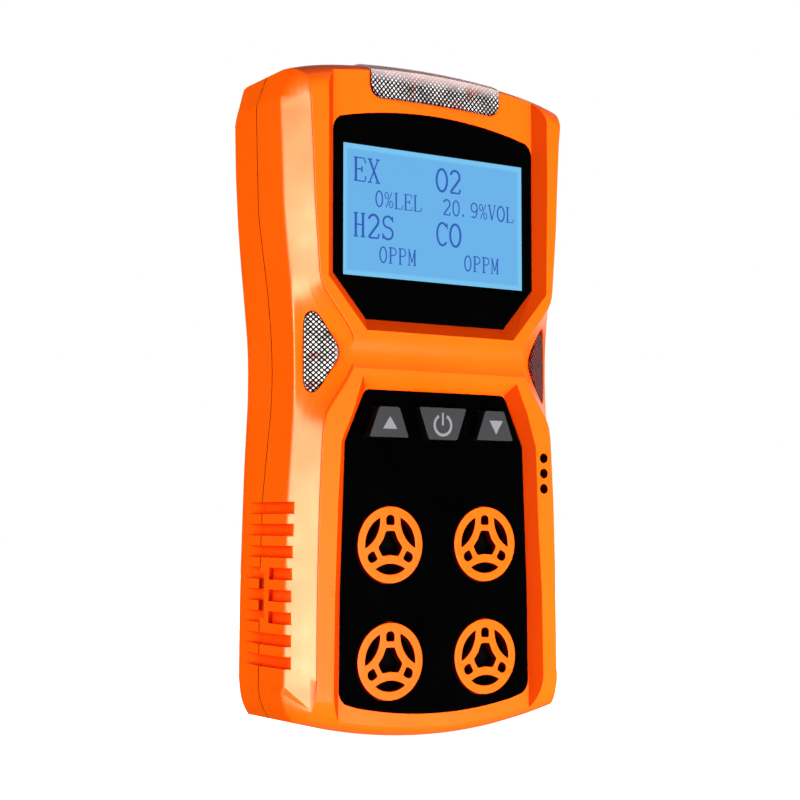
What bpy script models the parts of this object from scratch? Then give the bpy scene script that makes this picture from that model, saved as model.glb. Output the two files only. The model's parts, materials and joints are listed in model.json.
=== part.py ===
"""Portable gas detector for four gases, modelled the way it is assembled.

Two moulded shells close over a gasket and hold the boards, the display, the gas sensors and the battery.
X is the width, Y runs from front to back with 0 at the parting plane, and Z runs up from the lowest point.
Every size below is in millimetres; the meshes are built in metres. At the end the whole assembly moves
along Y, so that the origin is under the middle of its depth.
"""

import math

import bmesh
import bpy
from mathutils import Matrix, Vector

MM = 0.001

# --- Driving dimensions ---------------------------------------------------------------------------------

GAP = 0.3
WALL = 2.4

# Depths of the shells along Y
RAIL_Y = -15.46
PANEL_Y = -13.4
POCKET_Y = -11.9
FRONT_WALL_Y = -10.4
SHOULDER_Y = -9.74
SEAM_Y = 0.15
ROUND_Y = 8.6
HEEL_Y = 12.4
REAR_Y = 14.2
REAR_WALL_Y = 11.8

# Height and the crowned ends
HEIGHT = 129.7
CROWN_SAG = 3.6
CROWN_HALF = 30.9
CROWN_CORNER_SHARE = 0.25
SOLE_SAG = 3.9
SOLE_HALF = 29.1
CROWN_DROP = 5.9
CROWN_DEPTH = 9.0
SOLE_RISE = 8.0
SOLE_DEPTH = 5.6
REAR_BEVEL = 4.5
REAR_SOLE_BEVEL = 1.8

# Right-hand side of the shells, top to bottom: height and half width of the rail edge, height and half width of
# the shoulder, half width at the parting plane, and half width where the back starts to round
SIDE_STATIONS = [
    (118.2, 29.15, 118.6, 32.82, 32.55, 31.85),
    (108.5, 28.6, 109.5, 32.4, 32.3, 31.65),
    (99.7, 28.2, 99.7, 32.0, 32.0, 31.1),
    (91.0, 27.5, 92.0, 31.2, 31.0, 30.45),
    (84.6, 27.0, 85.0, 30.4, 29.95, 29.7),
    (81.8, 24.7, 81.8, 30.1, 29.6, 29.4),
    (75.9, 19.9, 76.5, 29.7, 29.1, 28.85),
    (69.2, 19.9, 69.2, 29.54, 28.8, 28.6),
    (63.6, 23.8, 64.0, 29.65, 28.9, 28.65),
    (60.6, 26.0, 61.0, 29.8, 29.1, 28.8),
    (57.0, 26.5, 57.5, 30.05, 29.5, 29.0),
    (50.5, 26.8, 50.6, 30.5, 30.2, 29.35),
    (44.5, 27.1, 44.5, 30.95, 30.8, 29.55),
    (27.0, 27.5, 27.0, 31.3, 31.3, 30.1),
    (11.9, 27.55, 10.97, 31.52, 31.37, 30.2),
]

# Edges around the two ends, as (half width, height) at the rail, the shoulder, the parting plane and the back
CROWN_END = [29.95, 30.7, 30.4, 30.1]
CROWN_CORNER = [(30.0, 120.3), (32.85, 120.0), (32.5, 120.6), (31.6, 120.6)]
CROWN_FOLD = [(29.97, 120.15), (32.84, 118.75), (32.6, 118.75), (31.9, 118.75)]
CROWN_CORNER_BULGE = Vector((0.85, 0.5))
SOLE_END = [27.7, 29.5, 29.0, 27.8]
SOLE_CORNER = [(32.07, 9.55), (31.39, 9.43), (30.05, 9.4)]
SOLE_FOLD = [(31.53, 10.8), (31.38, 10.8), (30.21, 10.8)]
SOLE_CORNER_START_Y = -14.0
SOLE_CORNER_LIFT = 0.15
SOLE_FOLD_LIFT = 0.3
SOLE_CORNER_BULGE = Vector((0.4, -0.3))

# Sunk channels on the front: floor and rim of the right half
UPPER_FLOOR = [(23.4, 140.0), (23.4, 87.3), (16.1, 78.9)]
UPPER_RIM = [(25.9, 140.0), (25.5, 86.3), (17.1, 76.6)]
LOWER_FLOOR = [(16.25, 65.7), (20.7, 55.7), (21.7, 27.0), (22.2, -8.0)]
LOWER_RIM = [(17.9, 68.0), (22.6, 55.6), (23.9, 27.0), (24.4, -8.0)]

# Groove across the bridge between the channels
GROOVE_Z = 72.3
GROOVE_HALF = 2.9
GROOVE_DEPTH = 0.85

# Display
WINDOW_TOP = 119.9
WINDOW_TOP_SAG = 2.3
WINDOW_CORNER_X = 20.5
WINDOW_CORNER_R = 3.0
LCD_HALF = 21.1
LCD_Z = (87.1, 112.3)
LCD_Y = (-10.1, -7.4)
BACKLIGHT_Y = (-7.1, -5.2)
INLAY_CLEARANCE = 0.25

# Key panel and keys
PANEL_BOTTOM = 4.3
PANEL_BOTTOM_SAG = 2.2
PANEL_CORNER_X = 19.3
KEY_FACE_Y = -15.8
KEY_FLANGE_Y = (-10.1, -9.1)
KEY_FLANGE_RIM = 0.8
KEY_OUTLINES = {
    "key_power": [(-5.5, 62.6), (5.5, 62.6), (3.3, 56.4), (-3.3, 56.4)],
    "key_down": [(10.0, 62.4), (14.5, 62.4), (16.7, 56.6), (7.9, 56.6)],
    "key_up": [(-14.5, 62.4), (-10.0, 62.4), (-7.9, 56.6), (-16.7, 56.6)],
}
KEY_SWITCH_X = {"key_switch_power": 0.0, "key_switch_down": 12.3, "key_switch_up": -12.3}
KEY_SWITCH_Z = 59.3

# Gas sensors and their grilles
SENSOR_X = 10.96
SENSOR_Z = {"lower": 14.6, "upper": 36.4}
SENSOR_R = 10.0
SENSOR_Y = (-10.1, 5.8)
GRILLE_R = 7.23
GRILLE_Y = (-14.1, -12.2)
GRILLE_RING_R = 5.6
GRILLE_LENS_R = 6.1
GRILLE_LENS_OFFSET = 9.64
GRILLE_SLOT_OFFSET = 4.65
GRILLE_HOLE_TIP = 2.6
GRILLE_HOLE_TIP_HALF = 0.9
GRILLE_HOLE_SIDE = 1.88
FILTER_R = 6.0
SENSOR_PORT_R = 6.3

# Alarm lenses
TOP_LENS_HALF = 15.1
TOP_LENS_Z = 121.8
TOP_LENS_BACK_Y = -2.2
LENS_PROUD = 0.35
LENS_THICKNESS = 1.2
WAIST_RAIL = Vector((20.1, RAIL_Y, GROOVE_Z))
WAIST_SHOULDER = Vector((29.54, SHOULDER_Y, GROOVE_Z))
SIDE_LENS_SPAN = (2.4, 8.7)
SIDE_LENS_HALF_HEIGHT = 7.6

# Sound holes on the right rail
SOUND_HOLE_X = 24.55
SOUND_HOLE_Z = (47.3, 50.35, 53.4)
SOUND_HOLE_R = 1.0
BUZZER_CENTRE = (22.2, 51.0)
BUZZER_R = 4.2
BUZZER_Y = (-9.9, -5.2)

# Grip grooves on both sides
GRIP_TOP_Z = 44.4
GRIP_PITCH = 4.06
GRIP_COUNT = 8
GRIP_HEIGHT = 2.2
GRIP_DEPTH = 0.8
GRIP_BAR_ROWS = (3, 4, 5)
GRIP_BAR_Y = (-3.6, -1.9)
GRIP_SLOT_Z = (22.8, 31.2)

# Gasket in its groove between the shells, as insets from the outside
GASKET_INSETS = (1.3, 1.8)
GASKET_CLEARANCE = 0.3
GASKET_FRONT_Y = -1.3

# Screws that close the shells
POST_FOOT_Y = FRONT_WALL_Y - 0.4
BOSS_TOP = (24.0, 117.5)
BOSS_BOTTOM = (24.2, 8.5)
BOSS_R = 2.8
REAR_BOSS_R = 3.3
SCREW_HOLE_R = 1.45
SCREW_R = 1.15
SCREW_HEAD_R = 2.2
COUNTERBORE_R = 2.6
COUNTERBORE_Y = 11.2

# Raised pad on the back, below the clip
REAR_PAD_HALF = 17.0
REAR_PAD_Z = (13.0, 39.0)
REAR_PAD_RISE = 0.6
REAR_PAD_CORNER = 2.5

HOLLOW_FRONT = (-7.5, 3.6)
REAR_HOLLOW_Y = 8.2

# Lamps behind the alarm lenses
TOP_LAMP_SLOT = ((-9.0, 9.0), (-8.4, -5.0), (120.5, 129.0))
SIDE_LAMP_SLOT_X = (23.4, 25.6)
SIDE_LAMP_SLOT_FRONT = -13.6
SIDE_LAMP_SLOT_HALF = 3.5
TOP_ALARM_BOARD = ((-12.0, 12.0), (-9.4, -4.4), (118.6, 119.6))
TOP_LAMP_X = (-7.0, 0.0, 7.0)
TOP_LAMP_HALF = 1.2
TOP_LAMP_Y = (-7.9, -5.5)
TOP_LAMP_Z = (119.2, 121.6)
SIDE_ALARM_BOARD_X = (22.4, 24.6)
SIDE_ALARM_BOARD_Y = (-10.1, -9.2)
SIDE_ALARM_BOARD_Z = (66.4, 78.0)
SIDE_LAMP_X = (23.7, 24.4)
SIDE_LAMP_Y = (-11.3, -9.6)
SIDE_LAMP_HALF = 1.2

# Battery, its foam pad, the vibration motor and the connector between the boards
BATTERY = ((-17.0, 17.0), (-2.6, 7.4), (56.0, 106.0))
BATTERY_CORNER = 1.6
FOAM_PAD = ((-14.0, 14.0), (7.7, 11.5), (86.0, 98.0))
MOTOR_CENTRE = (-14.0, 33.0)
MOTOR_R = 5.0
MOTOR_Y = (8.0, 10.7)
CONNECTOR_HALF = 9.0
CONNECTOR_Z = (48.8, 51.8)

# Boards
BOARD_HOLE_R = 1.3
POST_HOLE_R = 1.1
POST_HOLE_DEPTH = 5.0
BOARD_SCREW_LENGTH = 5.6
BOARD_SCREW_R = 0.8
BOARD_SCREW_HEAD_R = 1.7
MAIN_BOARD_Y = (-4.9, -3.3)
SENSOR_BOARD_Y = (6.1, 7.7)
BOARD_POSTS_MAIN = (19.6, 70.5)
BOARD_POSTS_SENSOR = (24.5, 25.5)
POST_R = 2.2

# Charging port in the sole
PORT_Y = 9.3
PORT_HALF = (3.8, 1.3)
COVER_RECESS_X = (-7.6, 6.6)
COVER_RECESS_Y = (6.25, 12.25)
COVER_RECESS_Z = 1.5
COVER_X = (-6.8, 6.2)
COVER_Y = (6.5, 12.1)
COVER_HINGE = Vector((-6.4, PORT_Y, 0.75))

# Belt clip
CLIP_HALF = 12.3
CLIP_PIVOT = Vector((0.0, 20.0, 92.0))
CLIP_PIN_R = 1.5
CLIP_PIN_HOLE_R = 1.8
CLIP_BACK_Y = 29.5
CLIP_SHEET = 1.2
CLIP_SIDE_LINE = [(CLIP_BACK_Y, 113.0), (CLIP_BACK_Y, 84.0), (17.0, 52.6), (16.5, 50.4), (18.2, 47.0)]
CLIP_BASE_HALF = 10.8
CLIP_BASE_Z = (78.0, 106.0)
CLIP_SCREW_Z = (81.5, 102.5)
CLIP_SCREW_TIP_Y = 9.6
CLIP_BOSS_R = 3.0
CLIP_BOSS_FRONT_Y = 8.4

# Middle of the whole depth, from the key faces to the back of the clip
MIDDLE_Y = (KEY_FACE_Y + CLIP_BACK_Y) / 2

# --- Helpers --------------------------------------------------------------------------------------------


def clear_scene():
    for old in list(bpy.data.objects):
        bpy.data.objects.remove(old)


def new_collection(name):
    collection = bpy.data.collections.new(name)
    bpy.context.scene.collection.children.link(collection)
    return collection


def material(name, color, roughness, metallic=0.0):
    made = bpy.data.materials.new(name)
    made.use_nodes = True
    shader = made.node_tree.nodes["Principled BSDF"]
    shader.inputs["Base Color"].default_value = (*color, 1.0)
    shader.inputs["Roughness"].default_value = roughness
    shader.inputs["Metallic"].default_value = metallic
    made.diffuse_color = (*color, 1.0)
    return made


def add_object(name, mesh, collection, look=None):
    made = bpy.data.objects.new(name, mesh)
    collection.objects.link(made)
    if look:
        mesh.materials.clear()
        mesh.materials.append(look)
    return made


def from_bmesh(name, bm, collection, look=None):
    bmesh.ops.recalc_face_normals(bm, faces=bm.faces)
    mesh = bpy.data.meshes.new(name)
    bm.to_mesh(mesh)
    bm.free()
    return add_object(name, mesh, collection, look)


def shade(made, degrees=35):
    made.data.shade_smooth()
    made.data.set_sharp_from_angle(angle=math.radians(degrees))


def loft(name, rings, collection, look=None):
    """A closed body through rings of equal point count, with a cap at each end."""
    bm = bmesh.new()
    rows = [[bm.verts.new(Vector(point) * MM) for point in ring] for ring in rings]
    for lower, upper in zip(rows, rows[1:]):
        for i, start in enumerate(lower):
            j = (i + 1) % len(lower)
            bm.faces.new((start, lower[j], upper[j], upper[i]))
    bm.faces.new(rows[0])
    bm.faces.new(rows[-1])
    return from_bmesh(name, bm, collection, look)


def plate(name, outline, y_front, y_back, collection, look=None):
    """A flat outline in X and Z, with a thickness along Y, from a filled 2D curve."""
    curve = bpy.data.curves.new(name, "CURVE")
    curve.dimensions = "2D"
    curve.fill_mode = "BOTH"
    curve.extrude = (y_back - y_front) / 2 * MM
    spline = curve.splines.new("POLY")
    spline.points.add(len(outline) - 1)
    spline.use_cyclic_u = True
    for point, (x, z) in zip(spline.points, outline):
        point.co = (x * MM, z * MM, 0.0, 1.0)
    source = bpy.data.objects.new(name + "_outline", curve)
    bpy.context.scene.collection.objects.link(source)
    source.matrix_world = (
        Matrix.Translation((0.0, (y_front + y_back) / 2 * MM, 0.0)) @ Matrix.Rotation(math.pi / 2, 4, "X")
    )
    bpy.context.view_layer.update()
    evaluated = source.evaluated_get(bpy.context.evaluated_depsgraph_get())
    mesh = bpy.data.meshes.new_from_object(evaluated)
    mesh.transform(source.matrix_world)
    bpy.data.objects.remove(source)
    bm = bmesh.new()
    bm.from_mesh(mesh)
    bmesh.ops.remove_doubles(bm, verts=bm.verts, dist=1e-6)
    return from_bmesh(name, bm, collection, look)


def block(name, x, y, z, collection, look=None):
    """A box between the given (low, high) pairs."""
    bm = bmesh.new()
    bmesh.ops.create_cube(bm, size=1.0)
    size = Vector((x[1] - x[0], y[1] - y[0], z[1] - z[0])) * MM
    centre = Vector((x[0] + x[1], y[0] + y[1], z[0] + z[1])) / 2 * MM
    bmesh.ops.scale(bm, vec=size, verts=bm.verts)
    bmesh.ops.translate(bm, vec=centre, verts=bm.verts)
    return from_bmesh(name, bm, collection, look)


def cylinder(name, radius, start, end, collection, look=None, segments=32):
    """A round bar from start to end."""
    start = Vector(start) * MM
    end = Vector(end) * MM
    bm = bmesh.new()
    sizes = {"radius1": radius * MM, "radius2": radius * MM, "depth": (end - start).length}
    bmesh.ops.create_cone(bm, cap_ends=True, segments=segments, **sizes)
    turn = (end - start).to_track_quat("Z", "Y").to_matrix().to_4x4()
    bmesh.ops.transform(bm, matrix=Matrix.Translation((start + end) / 2) @ turn, verts=bm.verts)
    return from_bmesh(name, bm, collection, look)


def turned(name, profile, centre, collection, look, segments=32):
    """A body turned about the Y axis through centre; the profile is (radius, y), from back to front."""
    bm = bmesh.new()
    points = [bm.verts.new(Vector((radius, y, 0.0)) * MM) for radius, y in profile]
    for first, second in zip(points, points[1:]):
        bm.edges.new((first, second))
    mesh = bpy.data.meshes.new(name)
    bm.to_mesh(mesh)
    bm.free()
    made = add_object(name, mesh, collection, look)
    made.location = (centre[0] * MM, 0.0, centre[1] * MM)
    screw = made.modifiers.new("turn", "SCREW")
    screw.axis = "Y"
    screw.steps = segments
    screw.render_steps = segments
    screw.use_merge_vertices = True
    screw.merge_threshold = 1e-6
    return made


def tube(name, points, radius, collection, look=None):
    """A round wire through points."""
    curve = bpy.data.curves.new(name, "CURVE")
    curve.dimensions = "3D"
    curve.bevel_depth = radius * MM
    curve.bevel_resolution = 1
    curve.use_fill_caps = True
    spline = curve.splines.new("POLY")
    spline.points.add(len(points) - 1)
    for target, point in zip(spline.points, points):
        target.co = (*(Vector(point) * MM), 1.0)
    made = bpy.data.objects.new(name, curve)
    collection.objects.link(made)
    if look:
        curve.materials.append(look)
    return made


def boolean(target, other, operation):
    step = target.modifiers.new(other.name, "BOOLEAN")
    step.operation = operation
    step.solver = "EXACT"
    step.object = other


def cut(target, *tools):
    for tool in tools:
        boolean(target, tool, "DIFFERENCE")


def join(target, *tools):
    for tool in tools:
        boolean(target, tool, "UNION")


def merge_flat_faces(made):
    """Joins the small flat faces that the cuts leave behind."""
    step = made.modifiers.new("merge_flat_faces", "DECIMATE")
    step.decimate_type = "DISSOLVE"
    step.angle_limit = math.radians(0.05)


def bevel(made, width, degrees=30, segments=1):
    step = made.modifiers.new("bevel", "BEVEL")
    step.width = width * MM
    step.segments = segments
    step.limit_method = "ANGLE"
    step.angle_limit = math.radians(degrees)


def mirrored(half):
    """A closed outline from its right half, given from top to bottom."""
    left = [(-x, z) for x, z in reversed(half) if x > 1e-6]
    return list(half) + left


def arc(centre, radius, first, last, count):
    """Points on an arc in X and Z, with angles in degrees, both ends included."""
    step = (last - first) / (count - 1)
    angles = [math.radians(first + step * i) for i in range(count)]
    return [(centre[0] + radius * math.cos(a), centre[1] + radius * math.sin(a)) for a in angles]


def circle(centre, radius, count=32):
    return arc(centre, radius, 0, 360 * (1 - 1 / count), count)


def rounded_rectangle(half, z, corner, count=3):
    """Outline of a plate with round corners, between the two heights in z."""
    outline = []
    for sx, sz, first in ((1, 1, 0), (-1, 1, 90), (-1, -1, 180), (1, -1, 270)):
        centre = (sx * (half - corner), (z[1] if sz > 0 else z[0]) - sz * corner)
        outline += arc(centre, corner, first, first + 90, count)
    return outline


def offset_outline(outline, distance):
    """The outline moved by distance along its outward normals (inwards if negative)."""
    area = sum(a[0] * b[1] - b[0] * a[1] for a, b in zip(outline, outline[1:] + outline[:1]))
    sign = 1.0 if area > 0 else -1.0
    moved = []
    for i, here in enumerate(outline):
        before = Vector(outline[i - 1])
        after = Vector(outline[(i + 1) % len(outline)])
        here = Vector(here)
        first = (here - before).normalized()
        second = (after - here).normalized()
        normal_a = Vector((first.y, -first.x)) * sign
        normal_b = Vector((second.y, -second.x)) * sign
        middle = (normal_a + normal_b).normalized()
        shift = distance / max(0.4, middle.dot(normal_a))
        moved.append(tuple(here + middle * shift))
    return moved


# --- Outline of the shells ------------------------------------------------------------------------------

CROWN_POINTS = 6
SOLE_POINTS = 6


def mix(a, b, t):
    return a + (b - a) * t


def quarter(t):
    """Height of a quarter ellipse, 1 at t = 0 and 0 at t = 1, steep at the start."""
    return 1.0 - math.sqrt(max(0.0, 1.0 - (1.0 - min(1.0, t)) ** 2))


def crown_z(x):
    """Height of the crown, which falls away faster near the corners."""
    u = x / CROWN_HALF
    return HEIGHT - CROWN_SAG * ((1.0 - CROWN_CORNER_SHARE) * u**2 + CROWN_CORNER_SHARE * u**6)


def sole_z(x):
    return SOLE_SAG * (x / SOLE_HALF) ** 2


STATION_DEPTHS = [RAIL_Y, SHOULDER_Y, 0.0, ROUND_Y]


def between_stations(values, y, depths=STATION_DEPTHS):
    """A number or a point at depth y, from its values at the given depths."""
    for first, second, front, back in zip(values, values[1:], depths, depths[1:]):
        if y <= back:
            share = max(0.0, (y - front) / (back - front))
            if isinstance(first, tuple):
                return tuple(mix(a, b, share) for a, b in zip(first, second))
            return mix(first, second, share)
    return values[-1]


def rear_rounding(y):
    """How far the round edge of the back has come in at depth y."""
    share = min(1.0, max(0.0, (y - ROUND_Y) / (REAR_Y - ROUND_Y)))
    return REAR_BEVEL * (1.0 - math.sqrt(1.0 - share**2))


def sole_end(y):
    """Where the sole meets the corner: half width, and height at depth y."""
    x = between_stations(SOLE_END, y)
    rise = SOLE_RISE * quarter((y - RAIL_Y) / SOLE_DEPTH)
    return x, sole_z(x) + rise


def sole_edge(stations, lift, y):
    """An edge of the sole's corner: it leaves the end of the sole behind the rail and reaches the side."""
    if y <= SOLE_CORNER_START_Y:
        x, z = sole_end(y)
        return x, z + lift
    x, z = sole_end(SOLE_CORNER_START_Y)
    depths = [SOLE_CORNER_START_Y] + STATION_DEPTHS[1:]
    return between_stations([(x, z + lift)] + stations, y, depths)


def section(y):
    """The closed outline of the shells at depth y, as (x, z) points, always the same count."""
    rear = rear_rounding(y)
    front = min(1.0, (y - RAIL_Y) / (SHOULDER_Y - RAIL_Y))
    drop = CROWN_DROP * quarter((y - RAIL_Y) / CROWN_DEPTH)
    rise = SOLE_RISE * quarter((y - RAIL_Y) / SOLE_DEPTH)
    rise += REAR_SOLE_BEVEL * max(0.0, (y - HEEL_Y) / (REAR_Y - HEEL_Y)) ** 2
    half = []
    crown_half = between_stations(CROWN_END, y) - rear * 0.9
    for i in range(CROWN_POINTS + 1):
        x = crown_half * i / CROWN_POINTS
        half.append((x, crown_z(x) - drop - rear))
    corner_x, corner_z = between_stations(CROWN_CORNER, y)
    corner = (corner_x - rear, corner_z)
    bulge = CROWN_CORNER_BULGE * max(0.0, 4.0 * front * (1.0 - front))
    half.append(tuple((Vector(half[-1]) + Vector(corner)) / 2 + bulge))
    half.append(corner)
    fold_x, fold_z = between_stations(CROWN_FOLD, y)
    half.append((fold_x - rear, fold_z))
    for rail_z, rail_x, side_z, side_x, seam_x, rear_x in SIDE_STATIONS:
        x = between_stations([rail_x, side_x, seam_x, rear_x], y)
        z = between_stations([rail_z, side_z, side_z, side_z], y)
        half.append((x - rear, z))
    fold_x, fold_z = sole_edge(SOLE_FOLD, SOLE_FOLD_LIFT, y)
    half.append((fold_x - rear, fold_z))
    corner_x, corner_z = sole_edge(SOLE_CORNER, SOLE_CORNER_LIFT, y)
    half.append((corner_x - rear, corner_z))
    sole_half = between_stations(SOLE_END, y) - rear * 0.7
    end = Vector((sole_half, sole_z(sole_half) + rise))
    share = min(1.0, max(0.0, (y - SOLE_CORNER_START_Y) / (SHOULDER_Y - SOLE_CORNER_START_Y)))
    half.append(tuple((Vector(half[-1]) + end) / 2 + SOLE_CORNER_BULGE * share))
    for i in range(SOLE_POINTS, -1, -1):
        x = sole_half * i / SOLE_POINTS
        half.append((x, sole_z(x) + rise))
    return mirrored(half)


def ring_at(y, inset=0.0):
    outline = section(y)
    if inset:
        outline = offset_outline(outline, -inset)
    return [(x, y, z) for x, z in outline]


FRONT_RING_DEPTHS = [RAIL_Y, -15.1, SOLE_CORNER_START_Y, -12.2, SHOULDER_Y, -6.46, -SEAM_Y]
REAR_RING_DEPTHS = [SEAM_Y, ROUND_Y, 11.4, 13.45, REAR_Y]

# --- Front housing --------------------------------------------------------------------------------------


def channel_outline(floor, y):
    return [(x, y, z) for x, z in floor]


def channel_cutter(name, floor, rim, cutters):
    """A drafted channel: its floor lies at the panel depth and its walls lean outwards to the rim."""
    reach = (PANEL_Y - (RAIL_Y - 3.0)) / (PANEL_Y - RAIL_Y)
    mouth = [(mix(a[0], b[0], reach), mix(a[1], b[1], reach)) for a, b in zip(floor, rim)]
    rings = []
    for y, half in ((RAIL_Y - 3.0, mouth), (PANEL_Y, floor)):
        left = [(-x, z) for x, z in reversed(half)]
        rings.append(channel_outline(half + left, y))
    return loft(name, rings, cutters)


def crowned_window(shrink=0.0):
    """Outline of the display window; shrink gives the window itself its clearance in the pocket."""
    top = []
    for i in range(7):
        x = WINDOW_CORNER_X * i / 6
        top.append((x, WINDOW_TOP - WINDOW_TOP_SAG * (x / WINDOW_CORNER_X) ** 2))
    corner_z = top[-1][1] - WINDOW_CORNER_R
    corner = arc((UPPER_FLOOR[0][0] - WINDOW_CORNER_R, corner_z), WINDOW_CORNER_R, 60, 0, 4)
    outline = mirrored(top[:-1] + corner + UPPER_FLOOR[1:])
    return offset_outline(outline, -shrink) if shrink else outline


def crowned_panel(shrink=0.0):
    """Outline of the key panel."""
    side = LOWER_FLOOR[:3]
    corner = arc((21.9 - WINDOW_CORNER_R, 9.6), WINDOW_CORNER_R, 0, -60, 4)
    bottom = []
    for i in range(6, -1, -1):
        x = PANEL_CORNER_X * i / 6
        bottom.append((x, PANEL_BOTTOM + PANEL_BOTTOM_SAG * (x / PANEL_CORNER_X) ** 2))
    outline = mirrored(side + corner + bottom[1:])
    return offset_outline(outline, -shrink) if shrink else outline


def sensor_places():
    for level, z in SENSOR_Z.items():
        for side, x in (("left", -SENSOR_X), ("right", SENSOR_X)):
            yield f"{level}_{side}", x, z


def grip_half_width(z):
    """Half width of the shells at the parting plane."""
    for upper, lower in zip(SIDE_STATIONS, SIDE_STATIONS[1:]):
        if lower[0] <= z <= upper[0]:
            return mix(lower[4], upper[4], (z - lower[0]) / (upper[0] - lower[0]))
    return SIDE_STATIONS[-1][4]


def grip_cutters(cutters, front):
    """Grip grooves on both sides; the middle rows are broken by a bar in front of the parting plane."""
    made = []
    tag = "front" if front else "rear"
    for sign in (-1, 1):
        for row in range(GRIP_COUNT):
            top = GRIP_TOP_Z - GRIP_PITCH * row
            floor = grip_half_width(top - GRIP_HEIGHT / 2) - GRIP_DEPTH
            if front:
                back = GRIP_BAR_Y[0] if row in GRIP_BAR_ROWS else 2.0
                depth = (SHOULDER_Y - 3.0, back)
            else:
                depth = (-2.0, REAR_Y + 1.0)
                floor -= 0.25
            x = tuple(sorted((sign * floor, sign * 40.0)))
            made.append(block(f"grip_{tag}_{sign}_{row}", x, depth, (top - GRIP_HEIGHT, top), cutters))
        if front:
            floor = grip_half_width(sum(GRIP_SLOT_Z) / 2) - GRIP_DEPTH
            x = tuple(sorted((sign * floor, sign * 40.0)))
            made.append(block(f"grip_slot_{sign}", x, (GRIP_BAR_Y[1], 2.0), GRIP_SLOT_Z, cutters))
    return made


def waist_axes(side):
    """Origin at the rail edge of the waist face, its direction outwards along the face, and its normal."""
    along = (WAIST_SHOULDER - WAIST_RAIL).normalized()
    normal = Vector((-along.y, along.x, 0.0))
    if normal.y > 0:
        normal = -normal
    origin = WAIST_RAIL.copy()
    for vector in (origin, along, normal):
        vector.x *= side
    return origin, along, normal


def side_lens_outline(grow=0.0):
    """Rounded triangle on the waist face, as (distance along the face, height above its centre)."""
    apex, base = SIDE_LENS_SPAN
    half = SIDE_LENS_HALF_HEIGHT
    outline = [
        (apex, 1.3),
        (apex + 2.2, 4.2),
        (base - 1.5, half - 0.3),
        (base - 0.3, half - 0.2),
        (base, half - 1.0),
    ]
    outline += [(a, -h) for a, h in reversed(outline)]
    return offset_outline(outline, grow) if grow else outline


def side_lens_body(name, side, depth, grow, collection, look=None):
    """A plug on the waist face between two depths along its normal (positive outwards)."""
    origin, along, normal = waist_axes(side)
    rings = []
    for level in depth:
        ring = []
        for a, h in side_lens_outline(grow):
            ring.append(origin + along * a + normal * level + Vector((0.0, 0.0, h)))
        rings.append(ring)
    return loft(name, rings, collection, look)


def crown_profile(x, inner, outer):
    """Closed section in Y and Z of a band that follows the forehead, the front fillet and the crown at x.
    inner and outer are the distances of its two faces from the shells' surface."""
    face = []
    steps = 5
    face.append((PANEL_Y, TOP_LENS_Z, -1.0, 0.0))
    start = (PANEL_Y - RAIL_Y) / CROWN_DEPTH
    for i in range(steps + 1):
        t = mix(start, 1.0, i / steps)
        y = RAIL_Y + CROWN_DEPTH * t
        z = crown_z(x) - CROWN_DROP * quarter(t)
        slope = CROWN_DROP / CROWN_DEPTH * (1.0 - t) / math.sqrt(max(1e-6, 1.0 - (1.0 - t) ** 2))
        normal = Vector((-slope, 1.0)).normalized()
        face.append((y, z, normal.x, normal.y))
    face.append((TOP_LENS_BACK_Y, crown_z(x), 0.0, 1.0))
    top = [(y + ny * outer, z + nz * outer) for y, z, ny, nz in face]
    bottom = [(y - ny * inner, z - nz * inner) for y, z, ny, nz in reversed(face)]
    return top + bottom


def crown_band(name, half, inner, outer, grow, collection, look=None):
    """The band of crown_profile swept across the crown between -half and +half."""
    rings = []
    count = 7
    for i in range(count + 1):
        x = mix(-half - grow, half + grow, i / count)
        ring = []
        for y, z in crown_profile(x, inner, outer):
            if z < TOP_LENS_Z + 0.01:
                z -= grow
            if y > TOP_LENS_BACK_Y - 0.01:
                y += grow
            ring.append((x, y, z))
        rings.append(ring)
    return loft(name, rings, collection, look)


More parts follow.
